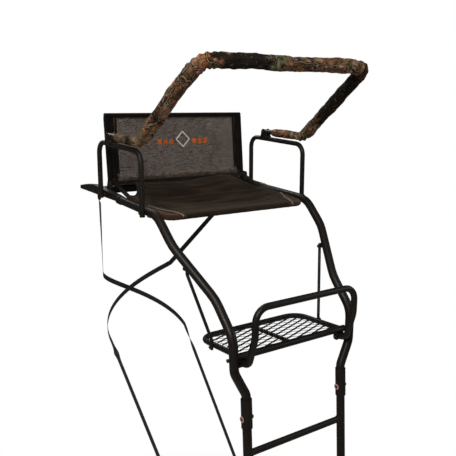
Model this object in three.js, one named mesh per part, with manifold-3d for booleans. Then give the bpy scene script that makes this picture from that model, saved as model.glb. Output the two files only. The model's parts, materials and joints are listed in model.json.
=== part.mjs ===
// Ladder tree stand: a three-section ladder that leans on a trunk and carries a seat platform.
// Millimetres, +Z up. +X is one side of the stand, +Y points at the trunk, -Y is where the
// hunter climbs up. The origin is the middle of the bracket face that bears on the trunk.
import * as THREE from 'three'
import { mergeVertices } from 'three/addons/utils/BufferGeometryUtils.js'
import Module from 'manifold-3d'

const wasm = await Module()
wasm.setup()

// ---- driving dimensions ------------------------------------------------------------
const DATUM = { y: 956, z: 647 } // bracket face, measured from the top ladder joint
const LADDER_HALF = 230 // rail centre to the stand's middle plane
const LEAN = -THREE.MathUtils.degToRad(3.16) // ladder leans towards the trunk
const SECTION = 1333.3 // length that each ladder section adds
const SECTIONS = 3
const RUNG_PITCH = SECTION / 4
const FIRST_RUNG = 208
const RUNG_R = 12.5
const RAIL_R = 17
const BELL_R = 20.6
const BELL_BORE_R = 18.1
const BELL_DEPTH = 101
const BELL_LENGTH = 109
const JOINT_BOLT_DROP = 72
const PLATFORM_HALF = 367 // seat-level side rails
const RAIL_SLOPE = 0.066 // side rails climb a little towards the trunk
const RAIL_KNEE = [374, 614] // y, z where the side rail turns down
const RAIL_END_Y = 692
const EXT_WIDTH = 25
const ARM_X = 395.3
const ARM_R = 10.4
const ARM_FRONT = [436, 844]
const ARM_REAR = [811, 867]
const SHOOT_R = 11
const SHOOT_X = 395.3
const SHOOT_FRONT_X = 374
const SHOOT_PIVOT = [700, 893]
const SHOOT_BEND = [438, 879]
const SHOOT_TOP = [62, 1154]
const PAD_R = 25
const PAD_END_R = 19
const SEAT_R = 9
const SEAT_X = 334
const SEAT_HINGE = [800, 688]
const SEAT_FRONT = [361, 601]
const POST_X = 344.6
const POST_R = 9.5
const POST_FOOT = [824, 684]
const POST_TOP = [849, 971]
const PLAT_HALF = 245
const PLAT_FRONT = [22, 152]
const PLAT_FRONT_R = 12.7
const PLAT_R = 11
const PLAT_BOLT = [14.5, 152]
const PLAT_REAR = [284, 140]
const FOOT_X = 234
const FOOT_R = 12.5
const FOOT_PIVOT = [20, 126]
const BRACE_TOP = [236, 436]
const BRACE_X = [324, 263.4] // top, foot
const BRACE_R = 6.1
const BRACE_FOOT = [168, 145]
const TRUNK = { y: 1178, r: 207 } // the trunk that the straps and the bracket are shaped for
const BAR_Z = -1874.7 // rung that carries the support bar

// ---- colours -----------------------------------------------------------------------
const steel = (c = 0x2b2521) => new THREE.MeshStandardMaterial({ color: c, roughness: 0.55, metalness: 0.35 })
const zinc = () => new THREE.MeshStandardMaterial({ color: 0x4a4642, roughness: 0.4, metalness: 0.8 })
const redCap = () => new THREE.MeshStandardMaterial({ color: 0x9a3a34, roughness: 0.5, metalness: 0 })
const cloth = (c) => new THREE.MeshStandardMaterial({ color: c, roughness: 0.95, metalness: 0 })
const rubber = () => new THREE.MeshStandardMaterial({ color: 0x17171a, roughness: 0.85, metalness: 0 })

// ---- geometry helpers ----------------------------------------------------------------
const V = (x, y, z) => new THREE.Vector3(x, y, z)

function toSolid(geometry) {
  const g = geometry.clone()
  g.deleteAttribute('normal')
  g.deleteAttribute('uv')
  const m = mergeVertices(g, 1e-3)
  return new wasm.Manifold(new wasm.Mesh({
    numProp: 3,
    vertProperties: new Float32Array(m.attributes.position.array),
    triVerts: new Uint32Array(m.index.array),
  }))
}

function toGeometry(solid) {
  const mesh = solid.getMesh()
  const g = new THREE.BufferGeometry()
  g.setAttribute('position', new THREE.BufferAttribute(new Float32Array(mesh.vertProperties), 3))
  g.setIndex(new THREE.BufferAttribute(new Uint32Array(mesh.triVerts), 1))
  g.computeVertexNormals()
  return g
}

function join(parts, cuts = []) {
  let solid = toSolid(parts[0])
  for (const p of parts.slice(1)) solid = solid.add(toSolid(p))
  for (const c of cuts) solid = solid.subtract(toSolid(c))
  return toGeometry(solid)
}

// A curve that is sampled exactly at its own points, so straight runs cost one step.
class PointCurve extends THREE.Curve {
  constructor(points) {
    super()
    this.points = points
  }
  getPoint(t) {
    const n = this.points.length - 1
    const i = Math.min(Math.floor(t * n + 1e-6), n - 1)
    return this.points[i].clone().lerp(this.points[i + 1], t * n - i)
  }
  getPointAt(t) {
    return this.getPoint(t)
  }
  getTangentAt(t) {
    const n = this.points.length - 1
    const i = Math.round(t * n)
    const a = this.points[Math.max(i - 1, 0)]
    const b = this.points[i]
    const c = this.points[Math.min(i + 1, n)]
    const before = b.clone().sub(a).normalize()
    const after = c.clone().sub(b).normalize()
    return before.add(after).normalize()
  }
  getTangent(t) {
    return this.getTangentAt(t)
  }
}

// Polyline with each inner corner rounded; corners are [x, y, z, radius].
function rounded(corners, steps = 6) {
  const pts = [V(...corners[0].slice(0, 3))]
  for (let i = 1; i < corners.length - 1; i++) {
    const a = V(...corners[i - 1].slice(0, 3))
    const b = V(...corners[i].slice(0, 3))
    const c = V(...corners[i + 1].slice(0, 3))
    const u = a.clone().sub(b).normalize()
    const w = c.clone().sub(b).normalize()
    const half = u.angleTo(w) / 2
    const reach = Math.min((corners[i][3] || 1) / Math.tan(half), a.distanceTo(b) * 0.49, c.distanceTo(b) * 0.49)
    const start = b.clone().addScaledVector(u, reach)
    const end = b.clone().addScaledVector(w, reach)
    const centre = b.clone().add(u.clone().add(w).normalize().multiplyScalar(reach / Math.cos(half)))
    const radius = centre.distanceTo(start)
    const turn = start.clone().sub(centre).angleTo(end.clone().sub(centre))
    const n = Math.max(2, Math.min(steps, Math.round(turn / 0.2)))
    for (let k = 0; k <= n; k++) {
      const f = k / n
      const p = start.clone().sub(centre).multiplyScalar(Math.sin((1 - f) * turn))
        .add(end.clone().sub(centre).multiplyScalar(Math.sin(f * turn)))
      pts.push(centre.clone().add(p.setLength(radius)))
    }
  }
  pts.push(V(...corners[corners.length - 1].slice(0, 3)))
  return pts
}

function circle(r, sides) {
  const shape = new THREE.Shape()
  for (let i = 0; i < sides; i++) {
    const a = (i / sides) * 2 * Math.PI
    const at = [r * Math.cos(a), r * Math.sin(a)]
    if (i === 0) shape.moveTo(...at)
    else shape.lineTo(...at)
  }
  shape.closePath()
  return shape
}

function tube(points, r, sides = 12) {
  const path = new PointCurve(points)
  return new THREE.ExtrudeGeometry(circle(r, sides), { steps: points.length - 1, extrudePath: path })
}

// Solid rod between two points.
const rod = (a, b, r, sides = 12) => tube([V(...a), V(...b)], r, sides)

function box(x0, x1, y0, y1, z0, z1) {
  const g = new THREE.BoxGeometry(x1 - x0, y1 - y0, z1 - z0)
  return g.translate((x0 + x1) / 2, (y0 + y1) / 2, (z0 + z1) / 2)
}

// Plate with a [y, z] outline, from x0 to x1.
function sidePlate(outline, x0, x1, holes = []) {
  const shape = new THREE.Shape(outline.map(([y, z]) => new THREE.Vector2(y, z)))
  for (const [y, z, r] of holes) {
    const path = new THREE.Path()
    path.absarc(y, z, r, 0, 2 * Math.PI, true)
    shape.holes.push(path)
  }
  const g = new THREE.ExtrudeGeometry(shape, { depth: Math.abs(x1 - x0), bevelEnabled: false, curveSegments: 8 })
  // Shape plane (y, z) -> (Y, Z), depth -> X.
  g.applyMatrix4(new THREE.Matrix4().makeBasis(V(0, 1, 0), V(0, 0, 1), V(1, 0, 0)))
  return g.translate(Math.min(x0, x1), 0, 0)
}

// Hex-headed bolt along X: head on the outside of xHead, nut beyond xNut.
function boltX(y, z, xHead, xNut, r = 3.6, head = 7, headH = 5) {
  const out = Math.sign(xHead - xNut)
  const nutH = headH
  const parts = [
    rod([xHead + out * 0.5 * headH, y, z], [xNut - out * 0.5 * nutH, y, z], r, 8),
    rod([xHead, y, z], [xHead + out * headH, y, z], head, 6),
    rod([xNut, y, z], [xNut - out * nutH, y, z], head, 6),
  ]
  return join(parts)
}

// Screw along X with a head only.
function screwX(y, z, xHead, xTip, r = 3.6, head = 7, headH = 5) {
  const out = Math.sign(xHead - xTip)
  return join([
    rod([xHead + out * 0.5 * headH, y, z], [xTip, y, z], r, 8),
    rod([xHead, y, z], [xHead + out * headH, y, z], head, 6),
  ])
}

const leaned = (g) => g.rotateX(LEAN)

const group = new THREE.Group()
const stand = new THREE.Group()
stand.position.set(0, -DATUM.y, -DATUM.z)
group.add(stand)

function add(name, geometry, material) {
  const mesh = new THREE.Mesh(geometry, material)
  mesh.name = name
  stand.add(mesh)
}

const sides = [['left', -1], ['right', 1]]

// ---- ladder --------------------------------------------------------------------------
// One welded section: two rails with a belled top, and four rungs.
function ladderSection(top, last) {
  const bottom = top - SECTION - (last ? -42 : BELL_DEPTH - 1)
  const parts = []
  const cuts = []
  for (const [, s] of sides) {
    const x = s * LADDER_HALF
    parts.push(rod([x, 0, top], [x, 0, top - BELL_LENGTH], BELL_R, 12))
    parts.push(rod([x, 0, top - BELL_LENGTH + 4], [x, 0, bottom], RAIL_R, 12))
    cuts.push(rod([x, 0, top + 5], [x, 0, top - BELL_DEPTH], BELL_BORE_R, 12))
    cuts.push(rod([x - 25, 0, top - JOINT_BOLT_DROP], [x + 25, 0, top - JOINT_BOLT_DROP], 4.4, 8))
    if (!last) {
      const z = top - SECTION - JOINT_BOLT_DROP
      cuts.push(rod([x - 25, 0, z], [x + 25, 0, z], 4.4, 8))
    }
  }
  for (let i = 0; i < 4; i++) {
    const z = top - FIRST_RUNG - i * RUNG_PITCH
    parts.push(rod([-LADDER_HALF, 0, z], [LADDER_HALF, 0, z], RUNG_R, 10))
  }
  return leaned(join(parts, cuts))
}

// Cap on a rail's foot, cut level with the ground.
function footCap(s) {
  const x = s * LADDER_HALF
  const end = -SECTIONS * SECTION
  const cup = leaned(rod([x, 0, end + 100], [x, 0, end - 30], RAIL_R + 5.2, 18))
  const bore = leaned(rod([x, 0, end + 130], [x, 0, end + 40], RAIL_R + 0.6, 18))
  const y = Math.tan(LEAN) * -end
  const pad = box(x - 34, x + 34, y - 34, y + 34, end + 8, end + 16)
  const ground = box(x - 80, x + 80, y - 120, y + 120, end - 90, end + 8)
  return join([cup, pad], [bore, ground])
}

const names = ['top', 'middle', 'base']
for (let i = 0; i < SECTIONS; i++) {
  add(`ladder_section_${names[i]}`, ladderSection(-i * SECTION, i === SECTIONS - 1), steel())
  for (const [side, s] of sides) {
    const x = s * LADDER_HALF
    const z = -i * SECTION - JOINT_BOLT_DROP
    const bolt = boltX(0, z, x + (BELL_R + 0.4), x - (BELL_R + 0.4), 3.9, 7.5, 4)
    add(`joint_bolt_${names[i]}_${side}`, leaned(bolt), redCap())
  }
}
for (const [side, s] of sides) add(`foot_cap_${side}`, footCap(s), rubber())

// ---- upper side rails ------------------------------------------------------------------
const railZ = (y) => RAIL_KNEE[1] + RAIL_SLOPE * (y - RAIL_KNEE[0])

function sideRailPath(s) {
  const end = RAIL_END_Y
  return rounded([
    [s * 230, Math.sin(LEAN) * 99, -99, 0],
    [s * 230, 0.8, 14, 36],
    [s * 277, 7, 104, 60],
    [s * 281, 9, 230, 95],
    [s * 284, 112, 343, 180],
    [s * 362, 272, 515, 180],
    [s * PLATFORM_HALF, ...RAIL_KNEE, 110],
    [s * PLATFORM_HALF, end, railZ(end), 0],
  ], 5)
}

function sideRail(s) {
  const end = RAIL_END_Y
  const dir = [0, 1, RAIL_SLOPE]
  const at = (y, r) => [s * PLATFORM_HALF, y, railZ(y) + r]
  const collar = rod(at(end - 22, 0), at(end, 0), RAIL_R + 2.3, 14)
  const socket = rod(at(end - 62, 0), at(end + 5 * dir[1], 0), 11.6, 12)
  // Rest tab under the seat frame, on the rail's inner face.
  const x = s * PLATFORM_HALF
  const tab = box(Math.min(s * 326, s * 358), Math.max(s * 326, s * 358), 432, 458, 595, 600.4)
  const web = box(Math.min(s * 347, s * 364), Math.max(s * 347, s * 364), 432, 458, 595, 608)
  const jz = -JOINT_BOLT_DROP
  const cuts = [
    socket,
    leaned(rod([s * 230 - 25, 0, jz], [s * 230 + 25, 0, jz], 4.4, 8)),
    rod([x - 30, ARM_FRONT[0], railZ(ARM_FRONT[0])], [x + 30, ARM_FRONT[0], railZ(ARM_FRONT[0])], 4.1, 8),
    rod([s * 250, ...PLAT_BOLT], [s * 310, ...PLAT_BOLT], 3.5, 8),
    rod([s * 326, ...BRACE_TOP], [s * 340, ...BRACE_TOP], 3.6, 10),
  ]
  const [ey, ez] = BRACE_TOP
  const rim = [[-24, 21], [-9, -6], [0, -9], [8, -5], [10, 4], [-12, 27]].map(([y, z]) => [ey + y, ez + z])
  const ear = sidePlate(rim, s * 330.6, s * 334.6)
  return join([tube(sideRailPath(s), RAIL_R, 14), collar, tab, web, ear], cuts)
}

// Flat-sided arm that carries each side rail on past the seat to the trunk.
function rearExtension(s) {
  const x0 = s * PLATFORM_HALF - EXT_WIDTH / 2
  const x1 = s * PLATFORM_HALF + EXT_WIDTH / 2
  const outline = [[694, 628], [843, 633], [1078, 642], [1078, 657], [1018, 667], [927, 674], [843, 665], [694, 652]]
  const arm = sidePlate(outline, x0, x1)
  const spigot = rod([s * PLATFORM_HALF, 634, railZ(634)], [s * PLATFORM_HALF, 705, railZ(705)], 11, 12)
  const cuts = [
    rod([x0 - 9, ARM_REAR[0], 648], [x1 + 9, ARM_REAR[0], 648], 4.1, 8),
    rod([x0 - 9, 838, 647], [x1 + 9, 838, 647], 4.1, 8),
    rod([x0 - 9, 922, 647], [x1 + 9, 922, 647], 4.1, 8),
    rod([x0 - 9, 1052, 649.5], [x1 + 9, 1052, 649.5], 4.5, 10),
  ]
  // Tab under the arm that the stabiliser strap ties to.
  const tab = sidePlate([[881, 640], [885, 614], [891, 609], [903, 609], [909, 614], [913, 640]], s * 364.5, s * 369.5)
  cuts.push(rod([s * 360, 897, 620], [s * 374, 897, 620], 5, 12))
  return join([arm, spigot, tab], cuts)
}

for (const [side, s] of sides) {
  add(`side_rail_${side}`, sideRail(s), steel())
  add(`rear_extension_${side}`, rearExtension(s), steel())
}

// ---- bracket that bears on the trunk -----------------------------------------------------
function treeBracket() {
  const bar = box(-353.9, 353.9, 902, 940, 632, 662)
  const web = box(-32, 32, 938, DATUM.y, 617, 677)
  const wings = sides.map(([, s]) => {
    // Toothed wing that opens at 25 degrees to hug the bark.
    const outline = new THREE.Shape()
    outline.moveTo(0, -30)
    outline.lineTo(122, -30)
    for (const t of [-20, -10, 0, 10, 20]) {
      outline.lineTo(133, t - 5)
      outline.lineTo(124, t)
    }
    outline.lineTo(133, 25)
    outline.lineTo(122, 30)
    outline.lineTo(0, 30)
    const g = new THREE.ExtrudeGeometry(outline, { depth: 5, bevelEnabled: false })
    const turn = THREE.MathUtils.degToRad(25)
    const along = V(s * Math.cos(turn), Math.sin(turn), 0)
    const normal = V(s * Math.sin(turn), -Math.cos(turn), 0)
    const up = V(0, 0, s)
    g.applyMatrix4(new THREE.Matrix4().makeBasis(along, up, normal))
    return g.translate(s * 28, DATUM.y - 0.6, 647)
  })
  const cuts = sides.map(([, s]) => rod([s * 320, 922, 647], [s * 360, 922, 647], 4.1, 8))
  return join([bar, web, ...wings], cuts)
}
add('tree_bracket', treeBracket(), steel())
for (const [side, s] of sides) {
  add(`bracket_bolt_${side}`, screwX(922, 647, s * 379.9, s * 326), zinc())
}

// ---- armrests -----------------------------------------------------------------------------
function armrest(s) {
  const x = s * ARM_X
  const frontZ = railZ(ARM_FRONT[0])
  const path = rounded([
    [x, ARM_FRONT[0], frontZ - 17, 0],
    [x, ...ARM_FRONT, 46],
    [x, ...ARM_REAR, 46],
    [x, ARM_REAR[0], 648 - 17, 0],
  ], 7)
  const cuts = [
    rod([x - 15, ARM_FRONT[0], frontZ], [x + 15, ARM_FRONT[0], frontZ], 4.1, 8),
    rod([x - 15, ARM_REAR[0], 648], [x + 15, ARM_REAR[0], 648], 4.1, 8),
  ]
  return join([tube(path, ARM_R, 12)], cuts)
}
for (const [side, s] of sides) {
  add(`armrest_${side}`, armrest(s), steel())
  const out = s * (ARM_X + ARM_R + 0.4)
  const inner = s * (PLATFORM_HALF - RAIL_R - 0.4)
  add(`armrest_bolt_front_${side}`, boltX(ARM_FRONT[0], railZ(ARM_FRONT[0]), out, inner, 3.6, 7, 3.2), zinc())
  add(`armrest_bolt_rear_${side}`, boltX(ARM_REAR[0], 648, out, s * 354.1, 3.6, 7, 2.6), zinc())
}

// ---- shooting rail ------------------------------------------------------------------------
function shootingPath(from) {
  const zAt = (y) => SHOOT_BEND[1] + (SHOOT_PIVOT[1] - SHOOT_BEND[1]) * (y - SHOOT_BEND[0]) / (SHOOT_PIVOT[0] - SHOOT_BEND[0])
  return rounded([
    [-SHOOT_X, from, zAt(from), 0],
    [-SHOOT_X, ...SHOOT_BEND, 62],
    [-SHOOT_FRONT_X, ...SHOOT_TOP, 60],
    [SHOOT_FRONT_X, ...SHOOT_TOP, 60],
    [SHOOT_X, ...SHOOT_BEND, 62],
    [SHOOT_X, from, zAt(from), 0],
  ], 5)
}

function shootingRail() {
  const [y, z] = SHOOT_PIVOT
  const cuts = sides.map(([, s]) => rod([s * SHOOT_X - 20, y, z], [s * SHOOT_X + 20, y, z], 4.3, 12))
  return join([tube(shootingPath(y + 12), SHOOT_R, 10)], cuts)
}

// Foam sleeve over the rail: thick over the arms and the front bar, thin beside the armrests.
function shootingPad() {
  const thin = tube(shootingPath(640), PAD_END_R, 10)
  const thick = tube(rounded([
    [-SHOOT_X + 1.2, SHOOT_BEND[0] - 28, SHOOT_BEND[1] + 21, 0],
    [-SHOOT_FRONT_X, ...SHOOT_TOP, 60],
    [SHOOT_FRONT_X, ...SHOOT_TOP, 60],
    [SHOOT_X - 1.2, SHOOT_BEND[0] - 28, SHOOT_BEND[1] + 21, 0],
  ], 5), PAD_R, 10)
  return join([thin, thick], [tube(shootingPath(660), SHOOT_R + 1.4, 8)])
}
add('shooting_rail', shootingRail(), steel())
add('shooting_rail_pad', shootingPad(), cloth(0x6b5a3e))

function pivotBracket(s) {
  const [y, z] = SHOOT_PIVOT
  const x = s * ARM_X
  const cheek = (a, b) => {
    const outline = []
    for (let i = 0; i <= 8; i++) {
      const t = (i / 8) * Math.PI
      outline.push([y + 13 * Math.cos(t), z + 13 * Math.sin(t)])
    }
    outline.push([y - 22, 856], [y + 22, 856])
    return sidePlate(outline, a, b)
  }
  const saddle = box(x - 16, x + 16, y - 22, y + 22, 856, 873)
  const arm = rod([x, ARM_FRONT[0], ARM_FRONT[1]], [x, ARM_REAR[0], ARM_REAR[1]], ARM_R + 0.6, 14)
  const hole = rod([x - 30, y, z], [x + 30, y, z], 4.2, 12)
  return join([saddle, cheek(x - 16, x - 12.6), cheek(x + 12.6, x + 16)], [arm, hole])
}
for (const [side, s] of sides) {
  add(`rail_pivot_bracket_${side}`, pivotBracket(s), steel())
  add(`rail_pivot_bolt_${side}`, boltX(...SHOOT_PIVOT, s * (ARM_X + 16.4), s * (ARM_X - 16.4), 3.8, 7.5, 5), zinc())
}

// ---- seat -----------------------------------------------------------------------------------
const SEAT_KINK = [650, 637.5]

function seatFrame() {
  const loop = rounded([
    [-SEAT_X, ...SEAT_HINGE, 0],
    [-SEAT_X, ...SEAT_KINK, 70],
    [-SEAT_X, ...SEAT_FRONT, 42],
    [SEAT_X, ...SEAT_FRONT, 42],
    [SEAT_X, ...SEAT_KINK, 70],
    [SEAT_X, ...SEAT_HINGE, 0],
  ], 4)
  const rear = rod([-346, ...SEAT_HINGE], [346, ...SEAT_HINGE], SEAT_R, 10)
  const cuts = sides.map(([, s]) => rod([s * 300, ...SEAT_HINGE], [s * 350, ...SEAT_HINGE], 4.3, 12))
  return join([tube(loop, SEAT_R, 10), rear], cuts)
}

// Fabric sling stretched inside the seat frame.
function seatSling() {
  const [fy, fz] = SEAT_FRONT
  const [ky, kz] = SEAT_KINK
  const [hy, hz] = SEAT_HINGE
  const t = 2.5
  const outline = [
    [fy + 10, fz - 1], [ky, kz - t], [hy - 10, hz - 5 - t],
    [hy - 10, hz - 5 + t], [ky, kz + t], [fy + 10, fz + 4],
  ]
  const x = SEAT_X - SEAT_R - 0.6
  const slab = sidePlate(outline, -x, x)
  // Front corners are clipped to clear the rounded frame.
  const cuts = sides.map(([, s]) => {
    const shape = new THREE.Shape([V(s * 350, fy), V(s * 350, fy + 62), V(s * 280, fy)].map((p) => new THREE.Vector2(p.x, p.y)))
    return new THREE.ExtrudeGeometry(shape, { depth: 200, bevelEnabled: false }).translate(0, 0, 520)
  })
  return join([slab], cuts)
}
add('seat_frame', seatFrame(), steel())
add('seat_sling', seatSling(), cloth(0x4a3d31))

// ---- backrest ---------------------------------------------------------------------------------
function backrestFrame() {
  const post = rounded([
    [-POST_X, ...POST_FOOT, 0],
    [-POST_X, ...POST_TOP, 20],
    [POST_X, ...POST_TOP, 20],
    [POST_X, ...POST_FOOT, 0],
  ], 5)
  const bar = rod([-POST_X, 826, 700], [POST_X, 826, 700], 7, 8)
  const outline = [[789, 679], [789, 697], [797, 701], [832, 701], [846, 662], [846, 634], [828, 634], [812, 668]]
  const lugs = sides.map(([, s]) => sidePlate(outline, s * 350, s * 354))
  const cuts = []
  for (const [, s] of sides) {
    cuts.push(rod([s * 348, ...SEAT_HINGE], [s * 360, ...SEAT_HINGE], 4.3, 12))
    cuts.push(rod([s * 348, 838, 647], [s * 360, 838, 647], 4.1, 8))
  }
  return join([tube(post, POST_R, 10), bar, ...lugs], cuts)
}

// Mesh panel stretched between the posts.
function backrestPanel() {
  const x = POST_X - POST_R - 0.6
  const lean = (z) => POST_FOOT[0] + (POST_TOP[0] - POST_FOOT[0]) * (z - POST_FOOT[1]) / (POST_TOP[1] - POST_FOOT[1])
  const lo = 709
  const hi = POST_TOP[1] - POST_R - 0.8
  const outline = [[lean(lo) - 2, lo], [lean(lo) + 2, lo], [lean(hi) + 2, hi], [lean(hi) - 2, hi]]
  const slab = sidePlate(outline, -x, x)
  const cuts = sides.map(([, s]) => box(Math.min(s * 324, s * 340), Math.max(s * 324, s * 340), 800, 900, 950, 990))
  return join([slab], cuts)
}
add('backrest_frame', backrestFrame(), steel())
add('backrest_panel', backrestPanel(), cloth(0x6d625a))
for (const [side, s] of sides) {
  add(`seat_hinge_bolt_${side}`, screwX(...SEAT_HINGE, s * 354.4, s * 312, 3.9, 7, 4.5), zinc())
  add(`backrest_bolt_${side}`, boltX(838, 647, s * 380, s * 349.6, 3.6, 7, 5), zinc())
}

// ---- foot platform ------------------------------------------------------------------------------
const platZ = (y) => PLAT_FRONT[1] + (PLAT_REAR[1] - PLAT_FRONT[1]) * (y - PLAT_FRONT[0]) / (PLAT_REAR[0] - PLAT_FRONT[0])

function footPlatform() {
  const loop = rounded([
    [-PLAT_HALF, ...PLAT_FRONT, 0],
    [-PLAT_HALF, ...PLAT_REAR, 62],
    [PLAT_HALF, ...PLAT_REAR, 62],
    [PLAT_HALF, ...PLAT_FRONT, 0],
  ], 6)
  const front = rod([-264, ...PLAT_FRONT], [264, ...PLAT_FRONT], PLAT_FRONT_R, 14)
  const spine = rod([0, PLAT_FRONT[0], PLAT_FRONT[1] - 3], [0, PLAT_REAR[0], PLAT_REAR[1] - 3], 8, 8)
  const parts = [tube(loop, PLAT_R, 10), front, spine]
  const cuts = []
  const [py, pz] = FOOT_PIVOT
  for (const [, s] of sides) {
    for (const x of [s * 218.8, s * 249.2]) {
      const foot = [[py - 12, pz - 6], [py - 7, pz - 12], [py + 7, pz - 12], [py + 12, pz - 6]]
      const outline = [...foot, [py + 11, pz + 24], [py - 9, pz + 24]]
      parts.push(sidePlate(outline, x - 1.7, x + 1.7))
    }
    cuts.push(rod([s * 213, py, pz], [s * 254, py, pz], 4.3, 12))
    cuts.push(rod([s * 256, ...BRACE_FOOT], [s * 238, ...BRACE_FOOT], 3.6, 10))
    cuts.push(rod([s * 230, ...PLAT_BOLT], [s * 270, ...PLAT_BOLT], 3.5, 8))
    // Trim the ends of the front tube to the curve of the rails.
    cuts.push(tube(sideRailPath(s), RAIL_R + 0.5, 14))
  }
  return join(parts, cuts)
}

// Expanded-metal tread with rows of diamond openings.
function footMesh() {
  const x0 = PLAT_HALF - PLAT_R - 0.4
  const y0 = PLAT_FRONT[0] + PLAT_FRONT_R + 0.5
  const y1 = PLAT_REAR[0] - PLAT_R - 0.6
  const c = 52
  const shape = new THREE.Shape([
    new THREE.Vector2(-x0, y0), new THREE.Vector2(x0, y0), new THREE.Vector2(x0, y1 - c),
    new THREE.Vector2(x0 - 0.29 * c, y1 - 0.29 * c), new THREE.Vector2(x0 - c, y1), new THREE.Vector2(-x0 + c, y1),
    new THREE.Vector2(-x0 + 0.29 * c, y1 - 0.29 * c), new THREE.Vector2(-x0, y1 - c),
  ])
  const dx = 36
  const dy = 21
  const rows = Math.floor((y1 - y0 - 8) / dy)
  const cols = Math.floor((2 * x0 - 8) / dx)
  const a = dx - 3.2
  const b = dy - 2.4
  const rim = (x, y) => {
    const ax = Math.abs(x)
    const corner = Math.hypot(Math.max(0, ax - (x0 - c)), Math.max(0, y - (y1 - c)))
    return ax + a < x0 - 3 && y - b > y0 + 2 && y + b < y1 - 3 && corner + Math.max(a, b) * 0.85 < c - 1
  }
  for (let j = 0; j <= rows; j++) {
    for (let i = 0; i <= cols; i++) {
      if ((i + j) % 2) continue
      const x = (i - cols / 2) * dx
      const y = y0 + 4 + dy * (j + 1)
      if (!rim(x, y)) continue
      const hole = new THREE.Path()
      hole.moveTo(x - a, y)
      hole.lineTo(x, y - b)
      hole.lineTo(x + a, y)
      hole.lineTo(x, y + b)
      hole.closePath()
      shape.holes.push(hole)
    }
  }
  const g = new THREE.ExtrudeGeometry(shape, { depth: 3, bevelEnabled: false })
  // Lay the tread along the platform's slope, just above the middle tube.
  const slope = (PLAT_REAR[1] - PLAT_FRONT[1]) / (PLAT_REAR[0] - PLAT_FRONT[0])
  const p = g.attributes.position
  for (let i = 0; i < p.count; i++) p.setZ(i, p.getZ(i) + PLAT_FRONT[1] + 5.6 + slope * (p.getY(i) - PLAT_FRONT[0]))
  return g
}
add('foot_platform', footPlatform(), steel())
add('foot_mesh', footMesh(), steel(0x1e1c1b))

function footRail() {
  const path = rounded([
    [-FOOT_X, ...FOOT_PIVOT, 0],
    [-FOOT_X, -20, 133, 34],
    [-FOOT_X, -54, 240, 90],
    [-FOOT_X, -56, 345, 70],
    [FOOT_X, -56, 345, 70],
    [FOOT_X, -54, 240, 90],
    [FOOT_X, -20, 133, 34],
    [FOOT_X, ...FOOT_PIVOT, 0],
  ], 7)
  const [y, z] = FOOT_PIVOT
  const eyes = sides.map(([, s]) => rod([s * FOOT_X - 10.5, y, z], [s * FOOT_X + 10.5, y, z], FOOT_R + 0.5, 12))
  const cuts = sides.map(([, s]) => rod([s * FOOT_X - 30, y, z], [s * FOOT_X + 30, y, z], 4.3, 12))
  return join([tube(path, FOOT_R, 12), ...eyes], cuts)
}
add('foot_rail', footRail(), steel())

// Thin rod from each side rail down to the back of the platform.
function braceRod(s) {
  const path = rounded([
    [s * BRACE_X[0], BRACE_TOP[0], BRACE_TOP[1] + 11, 0],
    [s * BRACE_X[0], BRACE_TOP[0], BRACE_TOP[1] - 22, 20],
    [s * BRACE_X[1], BRACE_FOOT[0], BRACE_FOOT[1] + 26, 30],
    [s * BRACE_X[1], BRACE_FOOT[0], BRACE_FOOT[1] - 11, 0],
  ], 4)
  const hole = (x, at) => rod([s * x - 9, ...at], [s * x + 9, ...at], 3, 8)
  return join([tube(path, BRACE_R, 10)], [hole(BRACE_X[0], BRACE_TOP), hole(BRACE_X[1], BRACE_FOOT)])
}
for (const [side, s] of sides) {
  const nut = s * (BRACE_X[0] - BRACE_R - 0.4)
  add(`brace_rod_${side}`, braceRod(s), steel())
  add(`brace_bolt_top_${side}`, boltX(...BRACE_TOP, s * 335, nut, 2.6, 6.5, 4), zinc())
  add(`brace_bolt_foot_${side}`, screwX(...BRACE_FOOT, s * (BRACE_X[1] + BRACE_R + 0.4), s * 240, 2.6, 6.5, 4), zinc())
  add(`platform_bolt_${side}`, screwX(...PLAT_BOLT, s * 296.4, s * 236, 3, 7.5, 5), zinc())
  add(`foot_rail_bolt_${side}`, boltX(...FOOT_PIVOT, s * 251.3, s * 216.7, 3.8, 7, 4), zinc())
}

// ---- stabiliser straps ----------------------------------------------------------------------------
// Each strap runs from a rear extension, behind the trunk, to the opposite ladder rail.
const STRAP_TOP = [364, 900, 602]
const STRAP_LOW_X = 228
const STRAP_R = 5
const STRAP_BEND_Z = [170, -165]
const BUCKLE_Z = { left: -1150, right: -1640 } // height of the cuff on each ladder rail
const railY = (z) => -z * Math.sin(LEAN)

function strapPath(s) {
  const [ax, ay, az] = [STRAP_TOP[0], STRAP_TOP[1] - TRUNK.y, STRAP_TOP[2]]
  const bz = s > 0 ? BUCKLE_Z.left : BUCKLE_Z.right
  const low = railY(bz) + 33.4
  const [bx, by] = [-STRAP_LOW_X, low - TRUNK.y]
  const r = TRUNK.r + (s < 0 ? 16 : 4) // they cross, one over the other
  const from = Math.atan2(ay, ax) + Math.acos(r / Math.hypot(ax, ay))
  const to = Math.atan2(by, bx) + 2 * Math.PI - Math.acos(r / Math.hypot(bx, by))
  const pts = [V(s * ax, STRAP_TOP[1], az)]
  const n = 14
  for (let i = 0; i <= n; i++) {
    const t = from + (to - from) * (i / n)
    const z = STRAP_BEND_Z[0] + (STRAP_BEND_Z[1] - STRAP_BEND_Z[0]) * (i / n)
    pts.push(V(s * r * Math.cos(t), TRUNK.y + r * Math.sin(t), z))
  }
  pts.push(V(s * bx, low, bz))
  return pts
}

// Split the straight runs so the tube keeps an even spacing.
function evenly(points, step) {
  const out = [points[0]]
  for (let i = 1; i < points.length; i++) {
    const n = Math.max(1, Math.round(points[i - 1].distanceTo(points[i]) / step))
    for (let k = 1; k <= n; k++) out.push(points[i - 1].clone().lerp(points[i], k / n))
  }
  return out
}

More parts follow.
